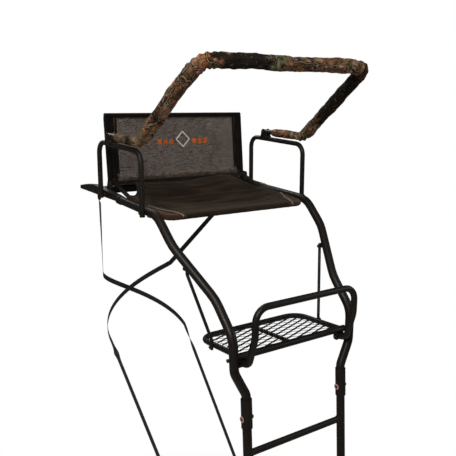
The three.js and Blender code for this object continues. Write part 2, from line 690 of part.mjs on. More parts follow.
// Cuff round a ladder rail with the cam buckle that the strap is pulled tight through.
function strapBuckle(s) {
  const z = s < 0 ? BUCKLE_Z.left : BUCKLE_Z.right
  const cuff = leaned(rod([s * LADDER_HALF, 0, z + 15], [s * LADDER_HALF, 0, z - 15], RAIL_R + 3.8, 18))
  const bore = leaned(rod([s * LADDER_HALF, 0, z + 30], [s * LADDER_HALF, 0, z - 30], RAIL_R + 0.6, 18))
  const y = railY(z)
  const body = box(s * LADDER_HALF - 8, s * LADDER_HALF + 8, y + 17, y + 28, z - 16, z + 16)
  return join([cuff, body], [bore])
}

for (const [side, s] of sides) {
  add(`stabiliser_strap_${side}`, tube(evenly(strapPath(s), 240), STRAP_R, 8), cloth(0x1d1b1a))
  add(`strap_buckle_${side}`, strapBuckle(s), zinc())
}

// ---- telescopic support bar between the ladder and the trunk -----------------------------------------
const RUNG_Y = -BAR_Z * Math.sin(LEAN)
const RUNG_Z = BAR_Z * Math.cos(LEAN)
const BAR_PIVOT = [RUNG_Y + 46, RUNG_Z]
const OUTER_END = 560
const INNER_START = 300
const OUTER_BORE = 20
const HEAD_Y = TRUNK.y - TRUNK.r - 16

function supportClamp() {
  const body = box(-24, 24, RUNG_Y - 19, RUNG_Y + 19, RUNG_Z - 19, RUNG_Z + 19)
  const ear = (a, b) => {
    const [py, pz] = BAR_PIVOT
    const outline = [[RUNG_Y + 10, pz - 16], [RUNG_Y + 10, pz + 16]]
    for (let i = 0; i <= 8; i++) {
      const t = Math.PI / 2 - (i / 8) * Math.PI
      outline.push([py + 14 * Math.cos(t), pz + 14 * Math.sin(t)])
    }
    return sidePlate(outline, a, b)
  }
  const cuts = [
    rod([-40, RUNG_Y, RUNG_Z], [40, RUNG_Y, RUNG_Z], RUNG_R + 0.6, 14),
    rod([-40, ...BAR_PIVOT], [40, ...BAR_PIVOT], 4.3, 12),
  ]
  return join([body, ear(-20, -15), ear(15, 20)], cuts)
}

function supportOuter() {
  const [py, pz] = BAR_PIVOT
  const half = 14
  const outer = box(-half, half, py - 12, OUTER_END, pz - half, pz + half)
  const inner = box(-11.6, 11.6, OUTER_BORE, OUTER_END + 5, pz - 11.6, pz + 11.6)
  const boss = rod([0, OUTER_END - 30, pz + half - 1], [0, OUTER_END - 30, pz + half + 10], 9, 14)
  const thread = rod([0, OUTER_END - 30, pz], [0, OUTER_END - 30, pz + half + 20], 4.2, 12)
  const pivot = rod([-30, py, pz], [30, py, pz], 4.3, 12)
  return join([outer, boss], [inner, thread, pivot])
}

function supportInner() {
  const pz = BAR_PIVOT[1]
  const bar = box(-11, 11, INNER_START, HEAD_Y - 4, pz - 11, pz + 11)
  const web = box(-30, 30, HEAD_Y - 6, HEAD_Y, pz - 26, pz + 26)
  const wings = sides.map(([, s]) => {
    const turn = THREE.MathUtils.degToRad(25)
    const g = new THREE.BoxGeometry(90, 5, 52).translate(45, -2.5, 0)
    if (s < 0) g.applyMatrix4(new THREE.Matrix4().makeRotationY(Math.PI))
    g.rotateZ(s * turn)
    return g.translate(s * 27, HEAD_Y - 0.6, pz)
  })
  return join([bar, web, ...wings])
}

function thumbScrew() {
  const z = BAR_PIVOT[1]
  const y = OUTER_END - 30
  const shank = rod([0, y, z + 11.4], [0, y, z + 32], 3.9, 12)
  const wing = box(-17, 17, y - 2.5, y + 2.5, z + 30, z + 44)
  const collar = rod([0, y, z + 25], [0, y, z + 33], 8, 14)
  return join([shank, wing, collar])
}
add('support_clamp', supportClamp(), steel())
add('support_bar_outer', supportOuter(), steel())
add('support_bar_inner', supportInner(), steel())
add('support_thumb_screw', thumbScrew(), rubber())
add('support_pivot_bolt', boltX(...BAR_PIVOT, 20.4, -20.4, 3.8, 7, 5), zinc())

export default group
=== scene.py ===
"""Looks of the ladder tree stand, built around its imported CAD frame. Metres, row frame."""

import json
import math

import bpy
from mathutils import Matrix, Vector, noise


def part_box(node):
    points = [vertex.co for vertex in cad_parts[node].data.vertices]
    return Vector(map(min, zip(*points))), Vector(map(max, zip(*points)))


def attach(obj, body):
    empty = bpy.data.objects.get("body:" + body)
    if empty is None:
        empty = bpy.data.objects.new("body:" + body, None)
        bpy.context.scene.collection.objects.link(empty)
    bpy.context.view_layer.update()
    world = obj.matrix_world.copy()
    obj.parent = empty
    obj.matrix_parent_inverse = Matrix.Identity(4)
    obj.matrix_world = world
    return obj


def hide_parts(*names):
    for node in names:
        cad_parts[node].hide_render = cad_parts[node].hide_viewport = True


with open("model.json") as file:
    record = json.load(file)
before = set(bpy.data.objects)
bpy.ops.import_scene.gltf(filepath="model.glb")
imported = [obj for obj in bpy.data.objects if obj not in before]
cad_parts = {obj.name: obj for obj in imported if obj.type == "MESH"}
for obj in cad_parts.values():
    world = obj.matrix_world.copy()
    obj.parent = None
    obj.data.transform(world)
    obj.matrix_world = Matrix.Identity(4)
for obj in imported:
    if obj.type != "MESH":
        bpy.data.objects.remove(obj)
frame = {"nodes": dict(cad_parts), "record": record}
bpy.context.view_layer.update()
SCENE = bpy.context.scene


# ---------------------------------------------------------------- small helpers
def D(x, y, z):
    """CAD design millimetres (origin at the top ladder joint) to the row frame."""
    return Vector((x / 1000, (y - 956) / 1000, (z - 647) / 1000))


def lerp(a, b, t):
    return a + (b - a) * t


def smooth(t):
    t = max(0.0, min(1.0, t))
    return t * t * (3 - 2 * t)


def n3(x, y, z):
    return noise.noise(Vector((x, y, z)))


def rounded(corners, step=0.15):
    """Polyline with rounded inner corners; corners are (x, y, z, radius) in design millimetres."""
    c = [Vector(p[:3]) for p in corners]
    pts = [c[0]]
    for i in range(1, len(c) - 1):
        a, b, d = c[i - 1], c[i], c[i + 1]
        u, w = (a - b).normalized(), (d - b).normalized()
        half = u.angle(w) / 2
        reach = min(corners[i][3] / math.tan(half), (a - b).length * 0.49, (d - b).length * 0.49)
        start, end = b + u * reach, b + w * reach
        centre = b + (u + w).normalized() * (reach / math.cos(half))
        radius = (start - centre).length
        turn = (start - centre).angle(end - centre)
        n = max(2, round(turn / step))
        for k in range(n + 1):
            f = k / n
            p = (start - centre) * math.sin((1 - f) * turn) + (end - centre) * math.sin(f * turn)
            pts.append(centre + p.normalized() * radius)
    pts.append(c[-1])
    return [D(*p) for p in pts]


def resample(pts, step):
    """Even spacing along a polyline."""
    lengths = [0.0]
    for a, b in zip(pts, pts[1:]):
        lengths.append(lengths[-1] + (b - a).length)
    n = max(2, round(lengths[-1] / step))
    out, j = [], 0
    for i in range(n + 1):
        s = lengths[-1] * i / n
        while j < len(pts) - 2 and lengths[j + 1] < s:
            j += 1
        seg = lengths[j + 1] - lengths[j]
        out.append(pts[j].lerp(pts[j + 1], (s - lengths[j]) / seg if seg > 0 else 0))
    return out


def length_of(pts):
    return sum((b - a).length for a, b in zip(pts, pts[1:]))


def tangents(pts):
    n = len(pts)
    return [(pts[min(i + 1, n - 1)] - pts[max(i - 1, 0)]).normalized() for i in range(n)]


def rings(pts, start_up=Vector((0, 0, 1))):
    """Rotation-minimising pairs of side vectors along a path."""
    ts = tangents(pts)
    side = ts[0].cross(start_up).normalized()
    out = []
    for t in ts:
        side = (side - t * side.dot(t)).normalized()
        out.append((side, t.cross(side).normalized()))
    return out


def mesh_object(name, verts, faces, uvs=None, material=None, smooth_on=True):
    mesh = bpy.data.meshes.new(name)
    mesh.from_pydata([tuple(v) for v in verts], [], faces)
    if uvs is not None:
        layer = mesh.uv_layers.new(name="UVMap")
        flat = []
        for loop in mesh.loops:
            flat.extend(uvs[loop.vertex_index])
        layer.data.foreach_set("uv", flat)
    if smooth_on:
        mesh.polygons.foreach_set("use_smooth", [True] * len(mesh.polygons))
    obj = bpy.data.objects.new(name, mesh)
    SCENE.collection.objects.link(obj)
    if material:
        mesh.materials.append(material)
    return obj


def grid_faces(rows, cols, wrap=False, offset=0):
    faces = []
    for i in range(rows - 1):
        for j in range(cols if wrap else cols - 1):
            k = (j + 1) % cols
            near, far = offset + i * cols, offset + (i + 1) * cols
            faces.append((near + j, near + k, far + k, far + j))
    return faces


def column_faces(columns, rows):
    """Faces of a sheet whose points run column by column, each column with rows + 1 points."""
    starts = [i * (rows + 1) + j for i in range(columns) for j in range(rows)]
    return [(a, a + rows + 1, a + rows + 2, a + 1) for a in starts]


class Builder:
    """Gathers many small shapes into one mesh."""

    def __init__(self):
        self.verts, self.faces, self.uvs = [], [], []

    def sweep(self, pts, radius, sides=16, cap=True, up=Vector((0, 0, 1))):
        """Round tube; radius is a number or a function of (distance, angle)."""
        base = len(self.verts)
        s = 0.0
        frames = rings(pts, up)
        for i, (p, (a, b)) in enumerate(zip(pts, frames)):
            if i:
                s += (p - pts[i - 1]).length
            for j in range(sides):
                t = 2 * math.pi * j / sides
                r = radius(s, t) if callable(radius) else radius
                self.verts.append(p + a * (r * math.cos(t)) + b * (r * math.sin(t)))
                self.uvs.append((j / sides, s))
        self.faces += grid_faces(len(pts), sides, True, base)
        if cap:
            self.faces.append(tuple(base + j for j in reversed(range(sides))))
            last = base + (len(pts) - 1) * sides
            self.faces.append(tuple(last + j for j in range(sides)))

    def lathe(self, centre, axis, profile, sides=24):
        """Profile of (distance along axis, radius) pairs turned about the axis."""
        axis = axis.normalized()
        side = axis.orthogonal().normalized()
        other = axis.cross(side)
        base = len(self.verts)
        for d, r in profile:
            for j in range(sides):
                t = 2 * math.pi * j / sides
                self.verts.append(centre + axis * d + side * (r * math.cos(t)) + other * (r * math.sin(t)))
                self.uvs.append((j / sides, d))
        self.faces += grid_faces(len(profile), sides, True, base)
        self.faces.append(tuple(base + j for j in reversed(range(sides))))
        last = base + (len(profile) - 1) * sides
        self.faces.append(tuple(last + j for j in range(sides)))

    def stitch(self, a, b, normal, width=0.0011, height=0.0007):
        """One stitch: a low rounded bump from a to b, lying on the cloth."""
        along = (b - a)
        across = along.normalized().cross(normal).normalized() * (width / 2)
        base = len(self.verts)
        for t, h in ((0.0, 0.15), (0.2, 0.8), (0.5, 1.0), (0.8, 0.8), (1.0, 0.15)):
            p = a.lerp(b, t)
            w = 0.45 + 0.55 * min(1.0, h + 0.1)
            self.verts += [p - across * w, p + normal * (height * h), p + across * w]
            self.uvs += [(0, t), (0.5, t), (1, t)]
        self.faces += grid_faces(5, 3, False, base)

    def seam(self, pts, normals, stitch=0.0045, gap=0.0022, **kw):
        """A run of stitches along a polyline."""
        path = pts
        lengths = [0.0]
        for a, b in zip(path, path[1:]):
            lengths.append(lengths[-1] + (b - a).length)

        def at(s):
            for i in range(len(path) - 1):
                if s <= lengths[i + 1] or i == len(path) - 2:
                    seg = max(1e-9, lengths[i + 1] - lengths[i])
                    f = min(1.0, (s - lengths[i]) / seg)
                    return path[i].lerp(path[i + 1], f), normals[i].lerp(normals[i + 1], f).normalized()

        s = gap
        while s + stitch < lengths[-1]:
            a, na = at(s)
            b, nb = at(s + stitch)
            self.stitch(a + na * 0.0003, b + nb * 0.0003, na, **kw)
            s += stitch + gap

    def make(self, name, material, smooth_on=True):
        return mesh_object(name, self.verts, self.faces, self.uvs, material, smooth_on)


# ---------------------------------------------------------------- materials
class Graph:
    """A node material written as nested calls."""

    def __init__(self, name):
        self.material = bpy.data.materials.new(name)
        self.material.use_nodes = True
        self.tree = self.material.node_tree
        self.tree.nodes.clear()
        self.out = self.node("OutputMaterial")
        self.coords = self.node("TexCoord")

    def node(self, kind, attrs=None, **inputs):
        n = self.tree.nodes.new("ShaderNode" + kind)
        for k, v in (attrs or {}).items():
            setattr(n, k, v)
        for k, v in inputs.items():
            self.plug(n.inputs[k.replace("_", " ")], v)
        return n

    def plug(self, socket, value):
        if isinstance(value, bpy.types.NodeSocket):
            self.tree.links.new(value, socket)
        else:
            socket.default_value = value

    @property
    def object(self):
        return self.coords.outputs["Object"]

    @property
    def uv(self):
        return self.coords.outputs["UV"]

    def scaled(self, vector, x, y, z):
        n = self.node("Mapping", Scale=(x, y, z))
        self.plug(n.inputs["Vector"], vector)
        return n.outputs["Vector"]

    def noise(self, vector, scale, detail=3.0, rough=0.5, distortion=0.0):
        n = self.node("TexNoise", Vector=vector, Scale=scale, Detail=detail, Roughness=rough,
                      Distortion=distortion)
        return n.outputs["Fac"]

    def math(self, op, a, b=0.0, clamp=False):
        n = self.node("Math", {"operation": op, "use_clamp": clamp})
        self.plug(n.inputs[0], a)
        self.plug(n.inputs[1], b)
        return n.outputs[0]

    def range(self, value, a, b, c=0.0, d=1.0):
        n = self.node("MapRange", Value=value)
        for i, v in zip((1, 2, 3, 4), (a, b, c, d)):
            n.inputs[i].default_value = v
        return n.outputs[0]

    def ramp(self, value, stops, interpolation="LINEAR"):
        n = self.node("ValToRGB", Fac=value)
        n.color_ramp.interpolation = interpolation
        while len(n.color_ramp.elements) < len(stops):
            n.color_ramp.elements.new(0.5)
        for e, (at, colour) in zip(n.color_ramp.elements, stops):
            e.position = at
            e.color = (*colour, 1)
        return n.outputs["Color"]

    def mix(self, fac, a, b, mode="MIX"):
        n = self.node("MixRGB", {"blend_type": mode}, Fac=fac)
        for i, v in ((1, a), (2, b)):
            if not isinstance(v, bpy.types.NodeSocket):
                v = (*v, 1)
            self.plug(n.inputs[i], v)
        return n.outputs[0]

    def bump(self, height, strength, distance, normal=None):
        n = self.node("Bump", Height=height, Strength=strength, Distance=distance)
        if normal is not None:
            self.plug(n.inputs["Normal"], normal)
        return n.outputs["Normal"]

    def split(self, vector):
        n = self.node("SeparateXYZ")
        self.plug(n.inputs[0], vector)
        return n.outputs

    def surface(self, **inputs):
        b = self.node("BsdfPrincipled", **inputs)
        self.tree.links.new(b.outputs[0], self.out.inputs["Surface"])
        return b


def powder_coat(name, base, dark, grain=1.0, rough=(0.36, 0.54), rub=0.35):
    """Textured powder coat: fine orange-peel grain, soft mottling, a little rubbed-through metal."""
    g = Graph(name)
    mottle = g.noise(g.object, 9, 4, 0.6)
    fine = g.noise(g.object, 130, 3, 0.6)
    colour = g.mix(g.range(mottle, 0.35, 0.68), dark, base)
    colour = g.mix(g.range(fine, 0.3, 0.75, 0.0, 0.3), colour, tuple(c * 2.1 for c in base))
    scuff = g.noise(g.scaled(g.object, 1, 1, 3), 42, 6, 0.78)
    scuff = g.math("MULTIPLY", g.range(scuff, 0.655, 0.70), g.range(g.noise(g.object, 5, 2), 0.5, 0.62))
    colour = g.mix(g.math("MULTIPLY", scuff, rub), colour, (0.20, 0.18, 0.16))
    grains = g.noise(g.object, 950, 2, 0.55)
    peel = g.noise(g.object, 300, 2, 0.5)
    normal = g.bump(grains, 0.22 * grain, 0.0004)
    normal = g.bump(peel, 0.16 * grain, 0.0011, normal)
    roughness = g.range(g.math("ADD", mottle, g.math("MULTIPLY", fine, 0.5)), 0.55, 0.95, *rough)
    g.surface(Base_Color=colour, Roughness=roughness, Metallic=0.0, Normal=normal, Specular_IOR_Level=0.30,
              Coat_Weight=0.05, Coat_Roughness=0.22)
    return g.material


def zinc_plate(name, tint=(0.17, 0.155, 0.14)):
    g = Graph(name)
    blotch = g.noise(g.object, 320, 4, 0.6)
    colour = g.mix(g.range(blotch, 0.35, 0.7), tuple(c * 0.55 for c in tint), tint)
    normal = g.bump(g.noise(g.object, 1400, 3), 0.15, 0.0003)
    g.surface(Base_Color=colour, Roughness=g.range(blotch, 0.3, 0.7, 0.28, 0.46), Metallic=0.85,
              Normal=normal)
    return g.material


def washer_paint(name, colour, deep):
    """Paint on a washer or bolt head, chalky and slightly uneven."""
    g = Graph(name)
    blotch = g.noise(g.object, 420, 4, 0.65)
    mixed = g.mix(g.range(blotch, 0.36, 0.66), deep, colour)
    normal = g.bump(g.noise(g.object, 1300, 2), 0.2, 0.0003)
    g.surface(Base_Color=mixed, Roughness=g.range(blotch, 0.3, 0.7, 0.42, 0.6), Normal=normal)
    return g.material


def rubber(name, base=(0.018, 0.018, 0.019)):
    g = Graph(name)
    dust = g.noise(g.object, 70, 5, 0.7)
    colour = g.mix(g.range(dust, 0.42, 0.75), base, tuple(c * 2.6 + 0.01 for c in base))
    normal = g.bump(g.noise(g.object, 800, 3), 0.3, 0.0004)
    g.surface(Base_Color=colour, Roughness=g.range(dust, 0.3, 0.7, 0.62, 0.85), Normal=normal)
    return g.material


def weave_height(g, vector, warp, weft):
    """Plain weave: over and under threads, from two sine waves a thread apart."""
    out = g.split(vector)
    u = g.math("MULTIPLY", out[0], warp * math.pi)
    v = g.math("MULTIPLY", out[1], weft * math.pi)
    a = g.math("ABSOLUTE", g.math("SINE", u))
    b = g.math("ABSOLUTE", g.math("SINE", v))
    over = g.math("GREATER_THAN", g.math("SINE", g.math("MULTIPLY", u, 1.0)), 0.0)
    under = g.math("GREATER_THAN", g.math("SINE", g.math("MULTIPLY", v, 1.0)), 0.0)
    swap = g.math("ABSOLUTE", g.math("SUBTRACT", over, under))
    return g.math("ADD", g.math("MULTIPLY", a, swap), g.math("MULTIPLY", b, g.math("SUBTRACT", 1.0, swap)))


def woven_cloth(name, base, dark, thread=0.0011, sheen=0.25, rough=0.88, depth=0.0006):
    """Heavy woven cloth, with painted highlights and painted shade along its folds. UVs are metres across and
    along.
    """
    g = Graph(name)
    wobble = g.noise(g.object, 60, 2)
    weave = weave_height(g, g.uv, 1 / thread, 1 / thread)
    slub = g.noise(g.scaled(g.uv, 25, 900, 1), 1, 3, 0.6)
    slub2 = g.noise(g.scaled(g.uv, 900, 25, 1), 1, 3, 0.6)
    broad = g.noise(g.object, 7, 4, 0.6)
    colour = g.mix(g.range(broad, 0.32, 0.7), dark, base)
    colour = g.mix(g.range(slub, 0.35, 0.75, 0.0, 0.45), colour, tuple(c * 1.7 for c in base))
    colour = g.mix(g.range(slub2, 0.4, 0.75, 0.0, 0.4), colour, tuple(c * 0.45 for c in dark))
    colour = g.mix(g.range(weave, 0.05, 0.5, 0.65, 0.0), colour, tuple(c * 0.35 for c in dark))
    # Painted highlight on fold ridges and painted shade in fold creases: one noise lightens and darkens the
    # colour in long bands.
    crease = g.noise(g.scaled(g.uv, 5, 26, 1), 1, 5, 0.62, 0.6)
    colour = g.mix(g.range(crease, 0.52, 0.68, 0.0, 0.45), colour, tuple(c * 2.0 for c in base))
    colour = g.mix(g.range(crease, 0.47, 0.33, 0.0, 0.6), colour, tuple(c * 0.5 for c in dark))
    normal = g.bump(weave, 0.5, depth)
    normal = g.bump(wobble, 0.18, 0.003, normal)
    g.surface(Base_Color=colour, Roughness=rough, Normal=normal, Sheen_Weight=sheen, Sheen_Roughness=0.5,
              Sheen_Tint=(0.75, 0.62, 0.48, 1), Specular_IOR_Level=0.14)
    return g.material


def open_mesh(name, base, dark, pitch=0.0024, open_share=0.42):
    """Coated open mesh: woven strands with real see-through holes."""
    g = Graph(name)
    out = g.split(g.uv)
    u = g.math("ABSOLUTE", g.math("SINE", g.math("MULTIPLY", out[0], math.pi / pitch)))
    v = g.math("ABSOLUTE", g.math("SINE", g.math("MULTIPLY", out[1], math.pi / pitch)))
    hole = g.math("MINIMUM", u, v)
    uneven = g.noise(g.scaled(g.uv, 55, 210, 1), 1, 3, 0.7)
    edge = g.range(uneven, 0.34, 0.66, *(math.sin(math.pi / 2 * (1 - open_share * k)) for k in (0.35, 1.6)))
    cut = g.math("GREATER_THAN", hole, edge)
    tone = g.noise(g.scaled(g.uv, 14, 420, 1), 1, 3, 0.6)
    tone2 = g.noise(g.scaled(g.uv, 420, 14, 1), 1, 3, 0.6)
    broad = g.noise(g.object, 9, 3, 0.6)
    streak = g.noise(g.scaled(g.uv, 38, 150, 1), 1, 3, 0.65)
    colour = g.mix(g.range(tone, 0.3, 0.72), dark, base)
    colour = g.mix(g.range(tone2, 0.35, 0.75, 0.0, 0.6), colour, tuple(c * 1.5 for c in base))
    colour = g.mix(g.range(streak, 0.40, 0.66, 0.0, 0.75), colour, tuple(c * 2.6 for c in base))
    colour = g.mix(g.range(streak, 0.48, 0.34, 0.0, 0.7), colour, tuple(c * 0.6 for c in dark))
    colour = g.mix(g.range(broad, 0.35, 0.68, 0.0, 0.4), colour, dark)
    strand = g.math("SUBTRACT", 1.0, g.math("MULTIPLY", g.math("MINIMUM", u, v), 0.9))
    normal = g.bump(strand, 0.6, 0.0006)
    b = g.surface(Base_Color=colour, Roughness=0.72, Normal=normal, Sheen_Weight=0.15,
                  Specular_IOR_Level=0.35)
    clear = g.node("BsdfTransparent")
    mixer = g.node("MixShader", Fac=cut)
    g.tree.links.new(b.outputs[0], mixer.inputs[1])
    g.tree.links.new(clear.outputs[0], mixer.inputs[2])
    g.tree.links.new(mixer.outputs[0], g.out.inputs["Surface"])
    return g.material


def webbing(name, base=(0.016, 0.015, 0.014)):
    """Flat polypropylene webbing: ribbed across, with two firm selvedges. UV x runs 0 to 1 across."""
    g = Graph(name)
    out = g.split(g.uv)
    ribs = g.math("ABSOLUTE", g.math("SINE", g.math("MULTIPLY", out[1], math.pi / 0.0016)))
    cords = g.math("ABSOLUTE", g.math("SINE", g.math("MULTIPLY", out[0], math.pi * 11)))
    tone = g.noise(g.scaled(g.uv, 30, 300, 1), 1, 3)
    colour = g.mix(g.range(tone, 0.3, 0.75), base, tuple(c * 2.4 for c in base))
    colour = g.mix(g.range(ribs, 0.0, 0.4, 0.6, 0.0), colour, tuple(c * 0.4 for c in base))
    normal = g.bump(ribs, 0.5, 0.0004)
    normal = g.bump(cords, 0.35, 0.0004, normal)
    g.surface(Base_Color=colour, Roughness=0.6, Normal=normal, Sheen_Weight=0.1, Specular_IOR_Level=0.45)
    return g.material


def thread(name, base):
    g = Graph(name)
    bands = g.node("TexWave", {"wave_type": "BANDS"}, Vector=g.object, Scale=900.0, Distortion=1.5)
    twist = bands.outputs["Fac"]
    colour = g.mix(g.range(twist, 0.2, 0.8), tuple(c * 0.6 for c in base), base)
    g.surface(Base_Color=colour, Roughness=0.7, Normal=g.bump(twist, 0.3, 0.0002), Sheen_Weight=0.3)
    return g.material


def camouflage(name):
    """Printed woodland cloth: bark ground, leaf blots, twigs, and long runs of deep shadow."""
    g = Graph(name)
    warp = g.node("TexNoise", Vector=g.object, Scale=22.0, Detail=3.0)
    bent = g.node("VectorMath", {"operation": "MULTIPLY_ADD"})
    g.plug(bent.inputs[0], warp.outputs["Color"])
    bent.inputs[1].default_value = (0.020, 0.020, 0.020)
    g.plug(bent.inputs[2], g.object)
    p = bent.outputs[0]
    wander = g.math("MULTIPLY", g.math("SUBTRACT", g.noise(g.object, 30, 4, 0.6), 0.5), 0.10)
    at = g.split(g.object)
    x, y = g.math("ADD", at[0], wander), g.math("ADD", at[1], wander)

    def band(value, low, high, soft=0.012):
        rise, fall = g.range(value, low - soft, low + soft), g.range(value, high + soft, high - soft)
        return g.math("MULTIPLY", rise, fall)

    shade = g.math("MAXIMUM", g.math("MULTIPLY", band(x, -0.26, -0.10), g.range(at[1], -0.78, -0.80)),
                   g.math("MULTIPLY", band(y, -0.872, -0.64), g.range(at[0], 0.32, 0.33)))
    shade = g.math("MAXIMUM", shade, g.math("MULTIPLY", band(y, -0.47, -0.41), g.range(at[0], -0.30, -0.32)))
    warm = g.math("MULTIPLY", band(x, -0.60, -0.27, 0.03), g.range(at[1], -0.70, -0.78))
    moss = g.math("MULTIPLY", band(x, -0.10, -0.045), g.range(at[1], -0.78, -0.80))
    moss = g.math("MAXIMUM", moss, g.math("MULTIPLY", band(y, -0.56, -0.49), g.range(at[0], 0.32, 0.33)))

    ground = g.ramp(g.noise(p, 26, 5, 0.62), [
        (0.30, (0.022, 0.011, 0.007)), (0.42, (0.12, 0.055, 0.028)), (0.50, (0.27, 0.135, 0.070)),
        (0.58, (0.42, 0.235, 0.140)), (0.70, (0.60, 0.41, 0.30))])
    olive = g.range(g.noise(p, 31, 3, 0.5, 0.4), 0.55, 0.60)
    colour = g.mix(g.math("MULTIPLY", olive, 0.7), ground, (0.120, 0.125, 0.045))
    colour = g.mix(g.math("MULTIPLY", moss, 0.7), colour, g.ramp(g.noise(p, 60, 3), [
        (0.35, (0.045, 0.060, 0.022)), (0.55, (0.22, 0.27, 0.13)), (0.7, (0.46, 0.46, 0.34))]))
    # Leaves: flattened cells, lit orange and pink, each with a dark rim.
    cell = g.node("TexVoronoi", {"feature": "F1"}, Vector=g.scaled(p, 1.0, 0.62, 1.35), Scale=38.0)
    pick = g.math("ADD", g.split(cell.outputs["Color"])[0], g.math("MULTIPLY", warm, 0.30))
    leaf_on = g.range(pick, 0.56, 0.58)
    leaf = g.math("MULTIPLY", g.range(cell.outputs["Distance"], 0.38, 0.33), leaf_on)
    leaf_tone = g.ramp(g.split(cell.outputs["Color"])[1], [
        (0.0, (0.66, 0.20, 0.045)), (0.25, (0.44, 0.22, 0.10)), (0.5, (0.74, 0.52, 0.40)),
        (0.75, (0.46, 0.12, 0.035)),
        (1.0, (0.34, 0.16, 0.07))])
    leaf_tone = g.mix(g.math("MULTIPLY", warm, 0.6), leaf_tone, (0.60, 0.20, 0.055))
    vein = g.range(g.noise(p, 180, 2), 0.4, 0.7, 0.5, 1.15)
    veins = g.node("CombineColor", Red=vein, Green=vein, Blue=vein).outputs[0]
    leaf_tone = g.mix(1.0, leaf_tone, veins, "MULTIPLY")
    colour = g.mix(leaf, colour, leaf_tone)
    rim = g.range(g.math("ABSOLUTE", g.math("SUBTRACT", cell.outputs["Distance"], 0.40)), 0.055, 0.02)
    colour = g.mix(g.math("MULTIPLY", g.math("MULTIPLY", rim, leaf_on), 0.9), colour, (0.012, 0.006, 0.004))
    # Branches: warped black lines with a pale edge.
    twig = g.node("TexVoronoi", {"feature": "DISTANCE_TO_EDGE"}, Vector=g.scaled(p, 0.8, 1.0, 1.0),
                  Scale=20.0)
    line = twig.outputs["Distance"]
    colour = g.mix(g.range(line, 0.100, 0.045, 0.0, 0.94), colour, (0.010, 0.006, 0.004))
    colour = g.mix(g.range(line, 0.026, 0.010, 0.0, 0.75), colour, (0.50, 0.36, 0.25))
    # Deep shadow, flecked with grey-green.
    fleck = g.range(g.noise(g.scaled(p, 1, 1, 1), 75, 4, 0.7), 0.58, 0.66)
    dark = g.mix(g.math("MULTIPLY", fleck, 0.8), (0.009, 0.007, 0.005), (0.15, 0.145, 0.10))
    colour = g.mix(g.math("MULTIPLY", shade, 0.95), colour, dark)
    spots = g.range(g.noise(p, 13, 4, 0.6, 0.6), 0.57, 0.61)
    colour = g.mix(g.math("MULTIPLY", spots, 0.9), colour, (0.010, 0.007, 0.005))
    weave = weave_height(g, g.uv, 1 / 0.0009, 1 / 0.0009)
    colour = g.mix(g.range(weave, 0.05, 0.4, 0.3, 0.0), colour, (0.01, 0.008, 0.006))
    normal = g.bump(weave, 0.35, 0.0004)
    normal = g.bump(g.noise(g.object, 55, 4, 0.6), 0.5, 0.005, normal)
    g.surface(Base_Color=colour, Roughness=0.8, Normal=normal, Sheen_Weight=0.02, Sheen_Roughness=0.45,
              Specular_IOR_Level=0.12)
    return g.material


STEEL = powder_coat("frame_powder_coat", (0.0140, 0.0105, 0.0079), (0.0068, 0.0051, 0.0040))
TREAD = powder_coat("tread_coat", (0.0115, 0.0098, 0.0088), (0.0055, 0.0050, 0.0046),
                    rough=(0.36, 0.52), rub=0.5)
WELD = powder_coat("weld_coat", (0.017, 0.0128, 0.0098), (0.009, 0.0068, 0.0052), grain=2.2, rub=0.2)
ZINC = zinc_plate("dark_zinc")
# Washers: red paint lightened to pinkish-white, a painted highlight.
PINK_WASHER_HIGHLIGHT = washer_paint("red_washer_painted_highlight", (0.68, 0.42, 0.41), (0.50, 0.24, 0.23))
RED = washer_paint("bolt_red", (0.23, 0.028, 0.024), (0.11, 0.012, 0.010))
RUBBER = rubber("foot_rubber")
KNOB = rubber("knob_plastic", (0.014, 0.014, 0.014))
CAMO = camouflage("camouflage_cloth")
SEAT = woven_cloth("seat_sling_cloth", (0.034, 0.0215, 0.0125), (0.011, 0.0068, 0.0040), 0.0016, 0.10)
BORDER = woven_cloth("border_cloth", (0.0090, 0.0068, 0.0058), (0.0040, 0.0031, 0.0027), 0.0012, 0.04)
FLAP = woven_cloth("corner_flap_cloth", (0.062, 0.028, 0.016), (0.028, 0.012, 0.007), 0.0012, 0.2)
MESH = open_mesh("backrest_mesh", (0.075, 0.049, 0.033), (0.017, 0.0105, 0.0068), 0.0026, 0.15)
WEB = webbing("strap_webbing", (0.010, 0.0092, 0.0086))
THREAD = thread("seam_thread", (0.34, 0.24, 0.18))
LACE = thread("pale_cord", (0.36, 0.25, 0.20))
DARK_THREAD = thread("dark_thread", (0.030, 0.022, 0.017))
ORANGE = woven_cloth("print_orange", (0.72, 0.17, 0.035), (0.52, 0.105, 0.02), 0.0012, 0.1)
WHITE = woven_cloth("print_white", (0.78, 0.75, 0.70), (0.60, 0.57, 0.52), 0.0012, 0.1)

CAD_MATERIALS = {"tread_steel": TREAD, "hardware": ZINC, "foot_rubber": RUBBER, "knob_plastic": KNOB}
SLOTS = {s["node"]: s["material_slot"] for s in frame["record"]["subparts"]}
for node_name, obj in frame["nodes"].items():
    data = obj.data
    for layer in ("custom_normal", "sharp_edge", "sharp_face"):
        if layer in data.attributes:
            data.attributes.remove(data.attributes[layer])
    data.polygons.foreach_set("use_smooth", [True] * len(data.polygons))
    weld = obj.modifiers.new("weld", "WELD")
    weld.merge_threshold = 1e-5
    crisp = obj.modifiers.new("crisp", "EDGE_SPLIT")
    crisp.split_angle = math.radians(44)
    material = CAD_MATERIALS.get(SLOTS[node_name], STEEL)
    for material_slot in obj.material_slots:
        material_slot.material = material


# ---------------------------------------------------------------- camouflage pad on the shooting rail
ARM_X, FRONT_X = 395.3, 374
PIVOT, BEND, TOP = (700, 893), (438, 879), (62, 1154)


